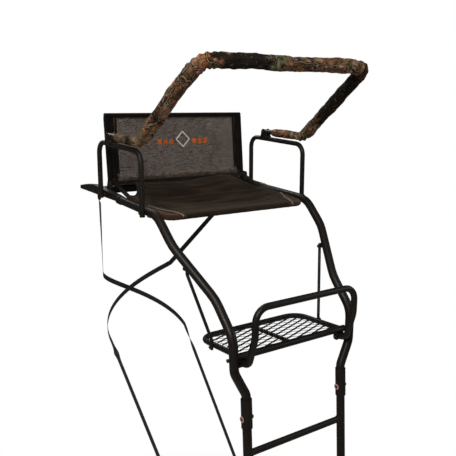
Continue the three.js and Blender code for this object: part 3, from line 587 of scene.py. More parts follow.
def rail_route(y):
    z = BEND[1] + (PIVOT[1] - BEND[1]) * (y - BEND[0]) / (PIVOT[0] - BEND[0])
    return resample(rounded([
        (-ARM_X, y, z, 0), (-ARM_X, *BEND, 62), (-FRONT_X, *TOP, 62),
        (FRONT_X, *TOP, 58), (ARM_X, *BEND, 62), (ARM_X, y, z, 0)], 0.08), 0.0042)


def camo_pad():
    pts = rail_route(640)
    total = length_of(pts)
    thin, thick = 0.0178, 0.0252
    grow_from, grow_to = 0.185, 0.262   # where the foam swells past the bend
    corners = []
    ts = tangents(pts)
    for i in range(4, len(pts) - 4):
        corners.append((ts[i - 4].angle(ts[i + 4]), i))
    bend = [0.0] * len(pts)
    for a, i in corners:
        bend[i] = a
    steps = total / (len(pts) - 1)

    def radius(s, t):
        end = min(s, total - s)
        r = lerp(thin, thick, smooth((end - grow_from) / (grow_to - grow_from)))
        i = min(len(pts) - 1, round(s / steps))
        turn = min(1.0, bend[i] * 3.0)
        # Loose cloth: long soft folds, finer creases, and gathers inside the bends.
        ct, st = math.cos(t), math.sin(t)
        folds = n3(s * 11, ct * 1.1 + 5, st * 1.1) * 0.0046
        folds += n3(s * 34 + st * 1.6, ct * 1.7, st * 1.7 + 9) * 0.0034
        crease = n3(s * 85 + ct * 2.6, ct * 1.5 + 3, st * 1.5)
        folds += (0.5 - abs(crease)) * 0.0022
        gather = math.sin(s * 2 * math.pi / 0.021 + 2.5 * n3(s * 9, ct, st)) * 0.0026 * turn
        tie = 0.0
        if end < 0.016:
            tie = -0.0028 * (1 - end / 0.016)
        scale = 0.45 + 0.55 * smooth((end - 0.05) / 0.2)
        return r + folds * scale + gather + tie

    b = Builder()
    b.sweep(pts, radius, 72, cap=False)
    # Turned-in cuffs at both ends.
    for first in (True, False):
        row = list(range(72)) if first else list(range((len(pts) - 1) * 72, len(pts) * 72))
        centre = pts[0] if first else pts[-1]
        inward = (pts[1] - pts[0]).normalized() if first else (pts[-2] - pts[-1]).normalized()
        base = len(b.verts)
        for k, (shrink, depth) in enumerate(((0.93, -0.0016), (0.82, -0.0004), (0.76, 0.006))):
            for v in row:
                b.verts.append(centre + (b.verts[v] - centre) * shrink + inward * depth)
                b.uvs.append(b.uvs[v])
        for k in range(3):
            a = row if k == 0 else [base + (k - 1) * 72 + j for j in range(72)]
            c = [base + k * 72 + j for j in range(72)]
            for j in range(72):
                n = (j + 1) % 72
                quad = (a[n], a[j], c[j], c[n]) if first else (a[j], a[n], c[n], c[j])
                b.faces.append(quad)
    # UVs in metres round the sleeve.
    b.uvs = [(u * 0.155, v) for u, v in b.uvs]
    pad = b.make("camouflage_sleeve", CAMO)
    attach(pad, "shooting_rail_body")
    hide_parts("shooting_rail_pad")

    # Hook-and-loop closure along the underside, edge-stitched.
    frames = rings(pts)
    seam = Builder()
    for offset in (2.15, 2.62):
        line, normals, s = [], [], 0.0
        for i, (p, (a, c)) in enumerate(zip(pts, frames)):
            if i:
                s += (p - pts[i - 1]).length
            if 0.03 < s < total - 0.03:
                t = offset * math.pi / 2 + math.pi
                d = a * math.cos(t) + c * math.sin(t)
                line.append(p + d * (radius(s, t % (2 * math.pi)) + 0.0001))
                normals.append(d)
        seam.seam(line, normals, 0.0042, 0.0024)
    stitches = seam.make("camouflage_sleeve_stitching", DARK_THREAD)
    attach(stitches, "shooting_rail_body")


camo_pad()

# ---------------------------------------------------------------- seat sling
SEAT_X, SEAT_R = 334, 9
HINGE, FRONT, KINK = (800, 688), (361, 601), (650, 637.5)


def seat_line(y):
    """Height of the seat tubes' centre line at y, design millimetres."""
    if y < KINK[0]:
        f = (y - FRONT[0]) / (KINK[0] - FRONT[0])
        z = lerp(FRONT[1], KINK[1], f)
    else:
        f = (y - KINK[0]) / (HINGE[0] - KINK[0])
        z = lerp(KINK[1], HINGE[1], f)
    near = max(0.0, 1 - abs(y - KINK[0]) / 40)
    return z + 2.4 * near * near


def through(points, at):
    """Smooth curve through (position, value) pairs."""
    for (a, va), (b, vb) in zip(points, points[1:]):
        if at <= b:
            return lerp(va, vb, smooth((at - a) / (b - a)))
    return points[-1][1]


REAR_HEIGHT = ((-334, 668), (-262, 690), (-150, 684), (0, 680), (100, 688), (193, 697), (262, 690),
               (334, 668))
REAR, SCOOP_FROM, SCOOP = 786.0, 262.0, 128.0   # rear edge and its half-moon corner cuts


def rear_edge(a):
    if a <= SCOOP_FROM:
        return REAR
    f = max(0.0, SEAT_X - a) / (SEAT_X - SCOOP_FROM)
    return REAR - SCOOP * math.sqrt(max(0.0, 1 - f * f)) - max(0.0, a - SEAT_X) * 0.15


def seat_sling():
    ring = SEAT_R + 1.9
    wrap_side, wrap_front = ring * 3.5, ring * 3.3
    tuck = 34
    half = SEAT_X + wrap_side + tuck
    clip, clip_back = 66.0, 150.0
    front_y = FRONT[0]

    def limits(p):
        """Front and rear ends of the cloth at a flattened position across it."""
        a = abs(p)
        front = -(wrap_front + tuck)
        if a > SEAT_X - clip:
            front = lerp(-12.0, clip_back, min(1.0, (a - (SEAT_X - clip)) / clip))
        return front, rear_edge(a) - front_y

    def top(x, y):
        """Height of the cloth between the tubes."""
        u = min(1.0, abs(x) / SEAT_X)
        line = seat_line(min(y, HINGE[0])) + ring
        along = smooth((y - front_y + 6) / 150)
        power = lerp(2.2, 5.0, smooth((y - 520) / 120))
        slack = lerp(20, 12, smooth((y - 560) / 60)) + 9 * math.exp(-((y - 652) / 22) ** 2)
        z = line - slack * (1 - u ** power) * along
        # A pulled ridge lies across the seat, and the cloth climbs behind it to the rear edge.
        z += 7.5 * math.exp(-((y - 612 - 12 * n3(x * 0.006, 3, 1)) / 20) ** 2) * (1 - u ** 4) * along
        climb = max(0.0, min(1.0, (y - 640) / (REAR - 640)))
        edge = through(REAR_HEIGHT, x)
        z = lerp(z, edge - (REAR - y) * 0.16, climb ** 1.2) if u < 1 else z
        bump = math.exp(-((x - 165) / 50) ** 2 - ((y - 665) / 26) ** 2)
        z += 10 * bump
        # Ridges run across from tube to tube, as pulled cloth shows.
        k = y / 1000
        w = n3(x * 0.0035, k * 34, 1.7) * 4.4
        w += n3(x * 0.006 + 4, k * 66, 3.1) * 2.7
        w += n3(x * 0.014, k * 120 + x * 0.004, 8.0) * 1.3
        w += (0.5 - abs(n3(x * 0.004, k * 21 + 2, 5.5))) * 3.4
        w += (0.42 - abs(n3(x * 0.008 + 7, k * 44 + x * 0.003, 2.5))) * 2.0
        return z + w * smooth((1 - u) * 7) * (0.25 + 0.75 * along)

    def place(p, q):
        """Flattened (p, q) to a point and the outward cloth normal, design millimetres."""
        s = 1 if p >= 0 else -1
        a = abs(p)
        y = front_y + max(0.0, q)
        if a <= SEAT_X:
            x, z = a, top(s * a, y)
            nx, nz = 0.0, 1.0
        else:
            phi = (a - SEAT_X) / ring
            if phi <= 3.5:
                x, dz = SEAT_X + ring * math.sin(phi), ring * math.cos(phi)
                nx, nz = math.sin(phi), math.cos(phi)
            else:
                over = a - SEAT_X - wrap_side
                x = SEAT_X + ring * math.sin(3.5) - over * 0.96
                dz = ring * math.cos(3.5) + over * 0.22
                nx, nz = -0.22, -0.97
            z = seat_line(min(y, HINGE[0])) + dz + n3(p * 0.05, q * 0.02, 4.0) * 0.6 * nz
        ny = 0.0
        if q < 0:
            psi = -q / ring
            if psi <= 3.3:
                y = front_y - ring * math.sin(psi)
                z = FRONT[1] + ring * math.cos(psi)
                ny, nz = -math.sin(psi), math.cos(psi)
            else:
                over = -q - wrap_front
                y = front_y - ring * math.sin(3.3) + over * 0.97
                z = FRONT[1] + ring * math.cos(3.3) + over * 0.13
                ny, nz = 0.1, -0.99
            z += n3(p * 0.05, q * 0.02, 4.0) * 0.6 * nz
        return Vector((s * x, y, z)), Vector((s * nx, ny, nz)).normalized()

    # Columns: even in the middle, dense round the half-moon cuts and the side tubes.
    outer = [SEAT_X + (half - SEAT_X) * k / 26 for k in range(1, 27)]
    scoop = [SEAT_X - (SEAT_X - SCOOP_FROM) * math.cos(k / 22 * math.pi / 2) for k in range(1, 23)]
    middle = [SCOOP_FROM * k / 66 for k in range(0, 67)]
    right = middle + scoop + outer
    span = [-v for v in reversed(right[1:])] + right
    rows = 150
    verts, uvs = [], []
    for p in span:
        front, back = limits(p)
        for j in range(rows + 1):
            v = j / rows
            v = lerp(v, v * v, 0.35) if front < -20 else v
            q = lerp(front, back, v)
            verts.append(D(*place(p, q)[0]))
            uvs.append((p / 1000, q / 1000))
    faces = column_faces(len(span) - 1, rows)
    sling = mesh_object("seat_sling_cloth", verts, faces, uvs, SEAT)
    shell = sling.modifiers.new("thickness", "SOLIDIFY")
    shell.thickness = 0.0016
    shell.offset = -1.0
    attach(sling, "seat_body")
    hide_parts("seat_sling")

    # Seams: hem at the rear edge, rows along both tubes and along the front bar.
    lines = Builder()

    def run(points, builder=lines, **kw):
        placed = [place(p, q) for p, q in points]
        builder.seam([D(*pt) + n * 0.0006 for pt, n in placed], [n for _, n in placed], **kw)

    edge_p = SEAT_X - clip
    for inset in (9, 13):
        run([(p, REAR - front_y - inset) for p in range(-252, 253, 8)])
    for s in (-1, 1):
        for x in (SEAT_X - 20, SEAT_X - 24):
            run([(s * x, q) for q in range(128, 280, 8)])
    for inset in (20, 24):
        run([(p, inset) for p in range(-int(edge_p) + 6, int(edge_p) - 5, 8)])
    seams = lines.make("seat_sling_stitching", DARK_THREAD)
    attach(seams, "seat_body")

    # Piping round the rear edge and the half-moon cuts.
    rim = [p for p in span if abs(p) <= SEAT_X + 6]
    path = resample([D(*place(p, rear_edge(abs(p)) - front_y)[0]) for p in rim], 0.004)
    piping = Builder()
    piping.sweep(path, lambda d, t: 0.0023 + n3(d * 90, math.cos(t), math.sin(t)) * 0.0002, 12)
    bound = piping.make("seat_piping", BORDER)
    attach(bound, "seat_body")

    pale = Builder()
    for s in (-1, 1):
        for inset in (5, 9.5):
            pts = []
            for k in range(13):
                f = k / 12
                across = s * lerp(SEAT_X - clip - 3, SEAT_X - 4, f)
                pts.append((across, lerp(-14, clip_back - 8, f) + inset * 1.8))
            run(pts, pale)
    diagonals = pale.make("seat_corner_stitching", THREAD)
    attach(diagonals, "seat_body")

    # Pale cord laid along each diagonal edge, knotted at the front bar.
    cords = Builder()
    for s in (-1, 1):
        edge = []
        for k in range(25):
            f = k / 24
            pt, n = place(s * lerp(SEAT_X - clip, SEAT_X - 2, f), lerp(-12, clip_back - 4, f))
            edge.append(D(*pt) + n * 0.0013)
        edge = resample(edge, 0.003)
        cords.sweep(edge, lambda d, t: 0.0017 + 0.0002 * math.sin(d * 2400 + t), 10)
        cords.lathe(edge[0] + Vector((0, 0.001, 0.001)), Vector((0.2 * s, -0.9, -0.5)), [
            (-0.0036, 0.0010), (-0.0028, 0.0030), (-0.0006, 0.0040), (0.0018, 0.0032), (0.0030, 0.0018),
            (0.0085, 0.0016), (0.0092, 0.0010)], 14)
    lace = cords.make("seat_corner_cords", LACE)
    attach(lace, "seat_body")

    # Corner flaps: from under the diagonal seam over the bent tube and round beneath it.
    fverts, ffaces, fuvs = [], [], []
    for s in (-1, 1):
        path = resample(rounded([
            (s * (SEAT_X - 84), *FRONT, 0), (s * SEAT_X, *FRONT, 42),
            (s * SEAT_X, lerp(front_y, KINK[0], 0.56), lerp(FRONT[1], KINK[1], 0.56), 0)], 0.08), 0.004)
        ts = tangents(path)
        base, inner, around = len(fverts), 9, 26
        width = inner + around
        for i, (c, t) in enumerate(zip(path, ts)):
            f = i / (len(path) - 1)
            out = t.cross(Vector((0, 0, 1))).normalized() * (1 if s > 0 else -1)
            up = (out.cross(t) if s > 0 else t.cross(out)).normalized()
            p = s * lerp(SEAT_X - clip - 12, SEAT_X - 6, f)
            q = lerp(-10, clip_back + 4, f)
            seam_point = D(*place(p, max(2.0, q + 6))[0]) - Vector((0, 0, 0.0022))
            r = 0.0104
            crown = c + up * r
            for k in range(inner):
                g = k / inner
                pt = seam_point.lerp(crown, g)
                sag = math.sin(math.pi * g)
                pt.z -= 0.0018 * sag - n3(g * 2.5, f * 9, s) * 0.0012 * sag
                fverts.append(pt)
                fuvs.append((f * 0.17, g * 0.03))
            for k in range(around):
                a = 3.7 * k / (around - 1)
                rr = r + n3(f * 12, a * 1.3, s * 3) * 0.0010 + n3(f * 34, a * 2, s) * 0.0005
                fverts.append(c + out * (math.sin(a) * rr) + up * (math.cos(a) * rr))
                fuvs.append((f * 0.17, 0.03 + a * r))
        for i in range(len(path) - 1):
            for k in range(width - 1):
                a = base + i * width + k
                quad = (a, a + 1, a + width + 1, a + width)
                ffaces.append(quad if s > 0 else (quad[0], quad[3], quad[2], quad[1]))
    corner = mesh_object("seat_corner_flaps", fverts, ffaces, fuvs, FLAP)
    shell = corner.modifiers.new("thickness", "SOLIDIFY")
    shell.thickness = 0.0011
    shell.offset = 0.0
    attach(corner, "seat_body")


seat_sling()

# ---------------------------------------------------------------- backrest
POST_X, POST_R = 344.6, 9.5
FOOT, HEAD = (824, 684), (849, 971)


def lean_y(z):
    return lerp(FOOT[0], HEAD[0], (z - FOOT[1]) / (HEAD[1] - FOOT[1]))


def backrest():
    up = (D(0, *HEAD) - D(0, *FOOT)).normalized()
    face = Vector((0, -1, 0))
    face = (face - up * face.dot(up)).normalized()
    low, high = 666.0, HEAD[1]

    def belly(x, z):
        """How far the cloth bellies back between the posts, with slack ripples, in millimetres."""
        u = max(-1.0, min(1.0, x / POST_X))
        w = max(0.0, min(1.0, (z - low) / (high - low)))
        deep = 5.5 * (1 - u * u) * math.sin(math.pi * min(1.0, w * 0.95 + 0.04))
        ripple = n3(x * 0.006, z * 0.013, 2.0) * 1.9 + n3(x * 0.018, z * 0.02, 6.0) * 0.9
        return deep + ripple * smooth((1 - abs(u)) * 6)

    def panel_point(x, z, lift=0.0):
        over_bar = 0.0072 * smooth((728 - z) / 16)   # the hem hangs in front of the cross bar
        return D(x, lean_y(z) + belly(x, z), z) + face * (POST_R / 1000 * 0.55 + over_bar + lift)

    # Open mesh between the borders.
    nx, nz = 150, 70
    verts, uvs = [], []
    for i in range(nx + 1):
        x = lerp(-(POST_X - 32), POST_X - 32, i / nx)
        for j in range(nz + 1):
            z = lerp(low, high - 10, j / nz)
            verts.append(panel_point(x, z))
            uvs.append((x / 1000, z / 1000))
    mesh = mesh_object("backrest_mesh_panel", verts, column_faces(nx, nz), uvs, MESH)
    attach(mesh, "stand")
    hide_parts("backrest_panel")

    # Dark borders: sleeves folded round the posts and the top bar, closed on the mesh.
    bverts, bfaces, buvs = [], [], []

    def sleeve(axis_pts, inward, width, ring, half_thick=0.0014):
        """Closed hem: a loop round the tube whose two layers meet on the mesh plane."""
        n, mouth = 22, 0.42   # points round the tube, and the half angle where the layers part

        def layer(f):
            return lerp(width, ring * math.cos(mouth), f), lerp(half_thick, ring * math.sin(mouth), f ** 3)

        loop = [layer(k / 8) for k in range(9)]
        for t in (lerp(mouth, 2 * math.pi - mouth, k / n) for k in range(1, n)):
            loop.append((math.cos(t) * ring, math.sin(t) * ring))
        loop += [(a, -c) for a, c in (layer(1 - k / 8) for k in range(9))]
        base = len(bverts)
        s = 0.0
        for i, p in enumerate(axis_pts):
            if i:
                s += (p - axis_pts[i - 1]).length
            for k, (a, c) in enumerate(loop):
                puff = n3(s * 40, k * 0.25, ring * 100 + inward.x) * 0.0007
                d = max(0.0, min(1.0, (width - a) / (width - ring)))
                q = p + inward * a
                back = belly(q.x * 1000, q.z * 1000 + 647) / 1000 * (1 - d)
                out = c + math.copysign(puff, c) * d + 0.0052 * (1 - d)
                bverts.append(q + Vector((0, back, 0)) + face * out)
                buvs.append((k * 0.0045, s))
        m = len(loop)
        bfaces.extend(grid_faces(len(axis_pts), m, True, base))
        bfaces.append(tuple(base + k for k in range(m)))
        bfaces.append(tuple(base + (len(axis_pts) - 1) * m + k for k in reversed(range(m))))

    for s in (-1, 1):
        line = [D(s * POST_X, lean_y(z), z) for z in [lerp(FOOT[1] + 8, high - 6, k / 60) for k in range(61)]]
        sleeve(line, Vector((-s, 0, 0)), 0.044, (POST_R + 1.5) / 1000)
    line = [D(x, HEAD[0], HEAD[1]) for x in [lerp(-(POST_X + 6), POST_X + 6, k / 120) for k in range(121)]]
    sleeve(line, -up, 0.0155, (POST_R + 1.0) / 1000)
    border = mesh_object("backrest_borders", bverts, bfaces, buvs, BORDER)
    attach(border, "stand")

    # Bound lower edge and stitching.
    tape = Builder()
    hem = [panel_point(lerp(-(POST_X - 30), POST_X - 30, k / 80), low + 5, 0.0) for k in range(81)]
    base = len(tape.verts)
    section = ((-0.008, 0.0012), (0.008, 0.0012), (0.0088, 0.0), (0.008, -0.0012), (-0.008, -0.0012),
               (-0.0088, 0.0))
    for i, p in enumerate(hem):
        for k, (h, d) in enumerate(section):
            tape.verts.append(p + up * h + face * d)
            tape.uvs.append((k * 0.008, i * 0.0085))
    tape.faces += grid_faces(len(hem), 6, True, base)
    tape.faces.append(tuple(base + k for k in reversed(range(6))))
    tape.faces.append(tuple(base + 480 + k for k in range(6)))
    edge = tape.make("backrest_edge_tape", BORDER)
    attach(edge, "stand")

    sew = Builder()
    for s in (-1, 1):
        for x in (POST_X - 40, POST_X - 17):
            pts = [panel_point(s * x, z, 0.0021) for z in range(int(FOOT[1]) + 44, int(high) - 22, 8)]
            sew.seam(pts, [face] * len(pts))
    pts = [panel_point(x, low + 10, 0.0014) for x in range(-325, 326, 8)]
    sew.seam(pts, [face] * len(pts))
    sewn = sew.make("backrest_stitching", DARK_THREAD)
    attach(sewn, "stand")

    # Plain emblem: a pale diamond outline between short orange bars.
    def patch(outline, material_index, bv, bf, bu, bm, lift=0.0009, cuts=6):
        base = len(bv)
        n = len(outline)
        ring_pts = []
        for i in range(n):
            a, c = outline[i], outline[(i + 1) % n]
            for k in range(cuts):
                ring_pts.append((lerp(a[0], c[0], k / cuts), lerp(a[1], c[1], k / cuts)))
        mx = sum(p[0] for p in ring_pts) / len(ring_pts)
        mz = sum(p[1] for p in ring_pts) / len(ring_pts)
        for shrink in (1.0, 0.66, 0.33):
            for x, z in ring_pts:
                px, pz = mx + (x - mx) * shrink, mz + (z - mz) * shrink
                bv.append(panel_point(px, pz, lift))
                bu.append((px / 1000, pz / 1000))
        bv.append(panel_point(mx, mz, lift))
        bu.append((mx / 1000, mz / 1000))
        m = len(ring_pts)
        bf.extend(grid_faces(3, m, True, base))
        bm.extend([material_index] * (2 * m))
        for k in range(m):
            bf.append((base + 2 * m + k, base + 2 * m + (k + 1) % m, base + 3 * m))
            bm.append(material_index)

    pv, pf, pu, pm = [], [], [], []
    cx, cz = 25.0, 853.0

    def bar(x0, x1, z0, z1):
        patch([(x0, z0), (x1, z0), (x1, z1), (x0, z1)], 0, pv, pf, pu, pm)

    for s in (-1, 1):
        for k in range(3):
            x = s * (50 + k * 30)
            bar(cx + min(x, x + s * 21), cx + max(x, x + s * 21), cz - 11, cz + 11)
    r, w = 38.0, 7.5
    for a, c in (((0, 1), (1, 0)), ((1, 0), (0, -1)), ((0, -1), (-1, 0)), ((-1, 0), (0, 1))):
        side = [(cx + e[0] * k, cz + 10 + e[1] * k) for e, k in ((a, r), (c, r), (c, r - w), (a, r - w))]
        patch(side, 1, pv, pf, pu, pm)
    emblem = mesh_object("backrest_emblem", pv, pf, pu, ORANGE)
    emblem.data.materials.append(WHITE)
    emblem.data.polygons.foreach_set("material_index", pm)
    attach(emblem, "stand")


backrest()

# ---------------------------------------------------------------- stabiliser straps
TRUNK_Y, TRUNK_R = 1178, 207
STRAP_TOP = (364, 900, 602)
STRAP_LOW = {1: (228, -30.0, -1150), -1: (228, -57.0, -1640)}  # the right strap ends on the left ladder rail
STRAP_WRAP_Z = (170, -165)
STRAP_WIDTH = 0.025


def strap_route(s):
    """Points and flat normals of one strap: tab, helical wrap behind the trunk, far ladder rail."""
    ax, ay, az = STRAP_TOP[0], STRAP_TOP[1] - TRUNK_Y, STRAP_TOP[2]
    low = STRAP_LOW[s]
    bx, by, bz = -low[0], low[1] - TRUNK_Y, low[2]
    r = TRUNK_R + (16 if s < 0 else 4)
    start = math.atan2(ay, ax) + math.acos(r / math.hypot(ax, ay))
    stop = math.atan2(by, bx) + 2 * math.pi - math.acos(r / math.hypot(bx, by))
    pts, normals = [], []

    def radial(t):
        return Vector((s * math.cos(t), math.sin(t), 0))

    n = 34
    first = Vector((s * ax, STRAP_TOP[1], az))
    touch = Vector((s * r * math.cos(start), TRUNK_Y + r * math.sin(start), STRAP_WRAP_Z[0]))
    for k in range(n):
        f = k / n
        pts.append(first.lerp(touch, f))
        normals.append(Vector((s, 0, 0)).lerp(radial(start), smooth(f)).normalized())
    m = 60
    for k in range(m + 1):
        f = k / m
        t = lerp(start, stop, f)
        z = lerp(STRAP_WRAP_Z[0], STRAP_WRAP_Z[1], f)
        pts.append(Vector((s * r * math.cos(t), TRUNK_Y + r * math.sin(t), z)))
        normals.append(radial(t))
    last = Vector((s * bx, low[1], bz))
    leave, out = pts[-1].copy(), normals[-1].copy()
    for k in range(1, 121):
        f = k / 120
        pts.append(leave.lerp(last, f))
        normals.append(out.lerp(Vector((0.3, -0.95, 0.0)), smooth(f * 14 - 0.1)).normalized())
    return [D(*p) for p in pts], normals


def strap(side, s):
    pts, normals = strap_route(s)
    ts = tangents(pts)
    b = Builder()
    thick = 0.0010
    width = STRAP_WIDTH / 2
    section = [(-1.0, 0.0), (-0.94, 0.8), (-0.8, 0.92), (-0.4, 1.0), (0.0, 1.0), (0.4, 1.0), (0.8, 0.92),
               (0.94, 0.8),
               (1.0, 0.0), (0.94, -0.8), (0.8, -0.92), (0.0, -1.0), (-0.8, -0.92), (-0.94, -0.8)]
    d = 0.0
    for i, (p, t, n) in enumerate(zip(pts, ts, normals)):
        if i:
            d += (p - pts[i - 1]).length
        flat = (n - t * n.dot(t)).normalized()
        across = t.cross(flat).normalized()
        for a, c in section:
            b.verts.append(p + across * (a * width) + flat * (c * thick))
            b.uvs.append((a * 0.5 + 0.5, d))
    m = len(section)
    b.faces += grid_faces(len(pts), m, True, 0)
    b.faces.append(tuple(reversed(range(m))))
    b.faces.append(tuple((len(pts) - 1) * m + k for k in range(m)))
    strap_obj = b.make(f"stabiliser_webbing_{side}", WEB)
    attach(strap_obj, "stand")
    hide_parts(f"stabiliser_strap_{side}")
    # Sewn end: two rows of stitches below the tab.
    sew = Builder()
    for offset in (-0.0085, 0.0085):
        line, ns = [], []
        for i in range(2, 12):
            flat = (normals[i] - ts[i] * normals[i].dot(ts[i])).normalized()
            across = ts[i].cross(flat).normalized()
            line.append(pts[i] + across * offset + flat * 0.0013)
            ns.append(flat)
        sew.seam(line, ns)
    stitches = sew.make(f"webbing_stitching_{side}", THREAD)
    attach(stitches, "stand")


for side, s in (("left", -1), ("right", 1)):
    strap(side, s)

# ---------------------------------------------------------------- expanded metal tread
PLATE_HALF, PLATE_FRONT, PLATE_REAR = 245, (22, 152), (284, 140)


STRAND_SECTION = ((-1, -1), (-1, 1), (-0.7, 1.25), (0.7, 1.25), (1, 1), (1, -1), (0.7, -1.25), (-0.7, -1.25))


def expanded_tread():
    """Slit, stretched sheet: twisted strands joined at knuckles, cut off inside the platform's tubes."""
    long_way, short_way = 76.0, 31.0
    x1, y0, y1, corner = PLATE_HALF - 6, PLATE_FRONT[0] + 6, PLATE_REAR[0] - 6, 57
    slope = (PLATE_REAR[1] - PLATE_FRONT[1]) / (PLATE_REAR[0] - PLATE_FRONT[0])

    def inside(x, y):
        if abs(x) > x1 or not y0 < y < y1:
            return False
        return math.hypot(max(0, abs(x) - (x1 - corner)), max(0, y - (y1 - corner))) < corner

    def height(y):
        return PLATE_FRONT[1] + slope * (y - PLATE_FRONT[0]) + 7.4

    strands = Builder()

    def strand(ax, ay, bx, by, half, thick, roll):
        """One strand between two knuckles, rolled about its length, broken where it leaves the frame."""
        n = 9
        pts = [(lerp(ax, bx, k / n), lerp(ay, by, k / n)) for k in range(n + 1)]
        run = []
        for point in pts + [None]:
            if point and inside(*point):
                run.append(point)
                continue
            if len(run) > 1:
                centre = [D(x, y, height(y) + 1.1 * math.sin(math.pi * (x - ax) / (bx - ax))) for x, y in run]
                t = (centre[-1] - centre[0]).normalized()
                side = t.cross(Vector((0, 0, 1))).normalized()
                flat = (side * math.cos(roll) + Vector((0, 0, 1)) * math.sin(roll)).normalized()
                edge = t.cross(flat).normalized()
                base = len(strands.verts)
                for k, c in enumerate(centre):
                    f = (run[k][0] - ax) / (bx - ax)
                    w = half * (1 + 0.5 * max(0.0, abs(f - 0.5) - 0.38) / 0.12)
                    for a, h in STRAND_SECTION:
                        strands.verts.append(c + flat * (a * w / 1000) + edge * (h * thick / 1250))
                        strands.uvs.append((a, k))
                strands.faces += grid_faces(len(centre), 8, True, base)
                strands.faces.append(tuple(base + k for k in reversed(range(8))))
                strands.faces.append(tuple(base + (len(centre) - 1) * 8 + k for k in range(8)))
            run = []

    across, deep = round(2 * x1 / long_way) * 2 + 2, round((y1 - y0) / short_way) * 2 + 2
    for i in range(-across // 2, across // 2 + 1):
        for j in range(deep):
            if (i + j) % 2:
                continue
            x, y = (i + 0.35) * long_way / 2, y0 - 4 + j * short_way / 2
            strand(x, y, x + long_way / 2, y + short_way / 2, 2.7, 1.3, -1.0)
            strand(x, y, x + long_way / 2, y - short_way / 2, 1.8, 0.8, 0.2)
    tread = strands.make("expanded_metal_tread", TREAD)
    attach(tread, "stand")
    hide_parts("foot_mesh")
    edge = tread.modifiers.new("crisp", "EDGE_SPLIT")
    edge.split_angle = math.radians(50)


expanded_tread()

# ---------------------------------------------------------------- joint bolts, red washers lightened by painted highlight
LEAN = -math.radians(3.16)
SECTION, DROP = 1333.3, 72


def leaned(x, y, z):
    c, q = math.cos(LEAN), math.sin(LEAN)
    return D(x, y * c - z * q, y * q + z * c)


for i, section in enumerate(("top", "middle", "base")):
    for side, s in (("left", -1), ("right", 1)):
        washers, heads, nuts = Builder(), Builder(), Builder()
        z = -i * SECTION - DROP
        for out in (-1, 1):
            seat_at = leaned(s * 230 + out * 20.7, 0, z)
            axis = Vector((out, 0, 0))
            wide = 0.0116 if out < 0 else 0.0085
            shape = [(0.0, 0.0048), (0.0, wide - 0.0007), (0.0007, wide), (0.0016, wide - 0.0003),
                     (0.0019, wide - 0.0014), (0.0019, 0.0050)]
            dome = [(0.0014, 0.0056), (0.0036, 0.0057), (0.0048, 0.0050), (0.0055, 0.0036), (0.0057, 0.0018),
                    (0.0052, 0.0008)]
            if out < 0:
                washers.lathe(seat_at, axis, shape, 36)
                heads.lathe(seat_at, axis, dome, 28)
            else:
                nuts.lathe(seat_at, axis, shape, 36)
                nuts.lathe(seat_at, axis, [(0.0015, 0.0068), (0.0060, 0.0068), (0.0068, 0.0060), (0.0068, 0.0030),
                                           (0.0090, 0.0028), (0.0096, 0.0018)], 6)
        nuts.sweep([leaned(s * 230 - 21, 0, z), leaned(s * 230 + 21, 0, z)], 0.0038, 16)
        washer = washers.make(f"joint_washers_{section}_{side}", PINK_WASHER_HIGHLIGHT)
        bolt = heads.make(f"joint_bolt_red_{section}_{side}", RED)
        nut = nuts.make(f"joint_nut_{section}_{side}", ZINC)
        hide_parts(f"joint_bolt_{section}_{side}")
        for o in (washer, bolt, nut):
            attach(o, "stand")
            edge = o.modifiers.new("crisp", "EDGE_SPLIT")
            edge.split_angle = math.radians(50)


# ---------------------------------------------------------------- weld beads
def weld_bead(builder, centre, axis, radius, hug, seed):
    """Rippled fillet round a tube of that radius where it meets a larger tube whose axis is hug."""
    axis = axis.normalized()
    side = (hug - axis * hug.dot(axis)).normalized()
    other = axis.cross(side)
    n, m = 56, 8
    base = len(builder.verts)
    big = 0.017
    for i in range(n):
        t = 2 * math.pi * i / n
        radial = side * math.cos(t) + other * math.sin(t)
        off = radius * abs(math.sin(t))
        sink = big - math.sqrt(max(0.0, big * big - off * off))
        ripple = 1 + 0.16 * math.sin(t * 17 + seed) + 0.12 * n3(t * 3, seed, 0)
        for k in range(m):
            a = 2 * math.pi * k / m
            r = 0.0026 * ripple
            reach = radius + 0.0003 + r * 0.9 * math.cos(a)
            builder.verts.append(centre - axis * (sink - 0.0006) + radial * reach + axis * (r * math.sin(a)))
            builder.uvs.append((t, a))
    for i in range(n):
        for k in range(m):
            j, q = (k + 1) % m, (i + 1) % n
            builder.faces.append((base + i * m + k, base + q * m + k, base + q * m + j, base + i * m + j))


beads = Builder()
PITCH, FIRST = SECTION / 4, 208
rail_up = (leaned(0, 0, 0) - leaned(0, 0, -100)).normalized()
for k in range(12):
    z = -FIRST - (k // 4) * SECTION - (k % 4) * PITCH
    for s in (-1, 1):
        weld_bead(beads, leaned(s * (230 - 16.8), 0, z), Vector((-s, 0, 0)), 0.0125, rail_up, k + s * 3)
bead_obj = beads.make("weld_beads_rungs", WELD)
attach(bead_obj, "stand")


# ---------------------------------------------------------------- stage, light, camera
SKY = 1.0   # brightness of the backdrop as the camera sees it; it doesn't light the object
SCENE.view_settings.view_transform = "Standard"


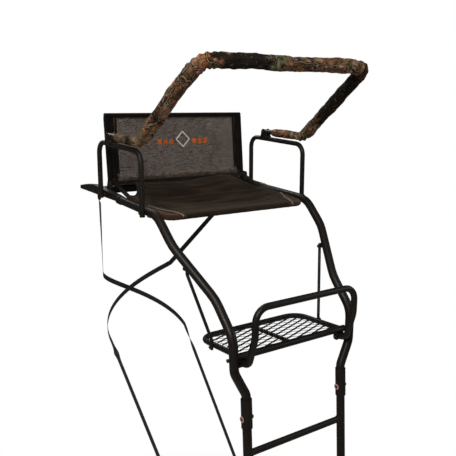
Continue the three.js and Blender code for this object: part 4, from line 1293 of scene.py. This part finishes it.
def emission_world():
    world = bpy.data.worlds.new("studio")
    SCENE.world = world
    world.use_nodes = True
    nt = world.node_tree
    nt.nodes.clear()
    out = nt.nodes.new("ShaderNodeOutputWorld")
    light = nt.nodes.new("ShaderNodeBackground")
    seen = nt.nodes.new("ShaderNodeBackground")
    path = nt.nodes.new("ShaderNodeLightPath")
    mixer = nt.nodes.new("ShaderNodeMixShader")
    light.inputs["Color"].default_value = (1.0, 0.99, 0.97, 1)
    light.inputs["Strength"].default_value = 0.08
    seen.inputs["Color"].default_value = (1, 1, 1, 1)
    seen.inputs["Strength"].default_value = SKY
    nt.links.new(path.outputs["Is Camera Ray"], mixer.inputs[0])
    nt.links.new(light.outputs[0], mixer.inputs[1])
    nt.links.new(seen.outputs[0], mixer.inputs[2])
    nt.links.new(mixer.outputs[0], out.inputs[0])


def area(name, location, target, size, power, colour=(1, 1, 1)):
    light = bpy.data.lights.new(name, "AREA")
    light.shape = "RECTANGLE"
    light.size, light.size_y = size
    light.energy = power
    light.color = colour
    obj = bpy.data.objects.new(name, light)
    obj.location = location
    obj.rotation_euler = (Vector(target) - Vector(location)).to_track_quat("-Z", "Y").to_euler()
    SCENE.collection.objects.link(obj)


floor_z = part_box("foot_cap_left")[0].z - 0.0005
g = Graph("pale_floor")
speck = g.noise(g.object, 3, 4)
far = g.node("VectorMath", {"operation": "LENGTH"})
g.plug(far.inputs[0], g.scaled(g.object, 1, 1, 0))
near = g.surface(Base_Color=g.mix(speck, (0.86, 0.86, 0.85), (0.90, 0.90, 0.89)), Roughness=0.9)
glow = g.node("Emission", Color=(1, 1, 1, 1), Strength=SKY)
camera_ray = g.node("LightPath").outputs["Is Camera Ray"]
seen = g.math("MULTIPLY", g.range(far.outputs["Value"], 2.2, 5.5), camera_ray)
fade = g.node("MixShader", Fac=seen)
g.tree.links.new(near.outputs[0], fade.inputs[1])
g.tree.links.new(glow.outputs[0], fade.inputs[2])
g.tree.links.new(fade.outputs[0], g.out.inputs["Surface"])
floor = mesh_object("floor", [(-60, -60, floor_z), (60, -60, floor_z), (60, 160, floor_z), (-60, 160, floor_z)],
                    [(0, 1, 2, 3)], None, g.material, False)
emission_world()
middle = (0, -0.6, -0.3)
area("key", (-3.6, -3.4, 3.2), middle, (2.6, 2.6), 205, (1.0, 0.965, 0.92))
area("fill", (3.6, -3.0, 1.2), middle, (2.2, 2.2), 26, (0.97, 0.98, 1.0))
area("rim", (0.5, 3.6, 3.2), middle, (3.0, 1.6), 90)

cam = bpy.data.cameras.new("camera")
cam.lens = 49.34
cam.sensor_width = 36
cam.clip_end = 200
camera = bpy.data.objects.new("camera", cam)
camera.location = (-1.4513, -2.5959, 0.3616)
camera.rotation_euler = (math.radians(79.0), 0, math.radians(-34.88))
SCENE.collection.objects.link(camera)
SCENE.camera = camera

bpy.context.view_layer.update()
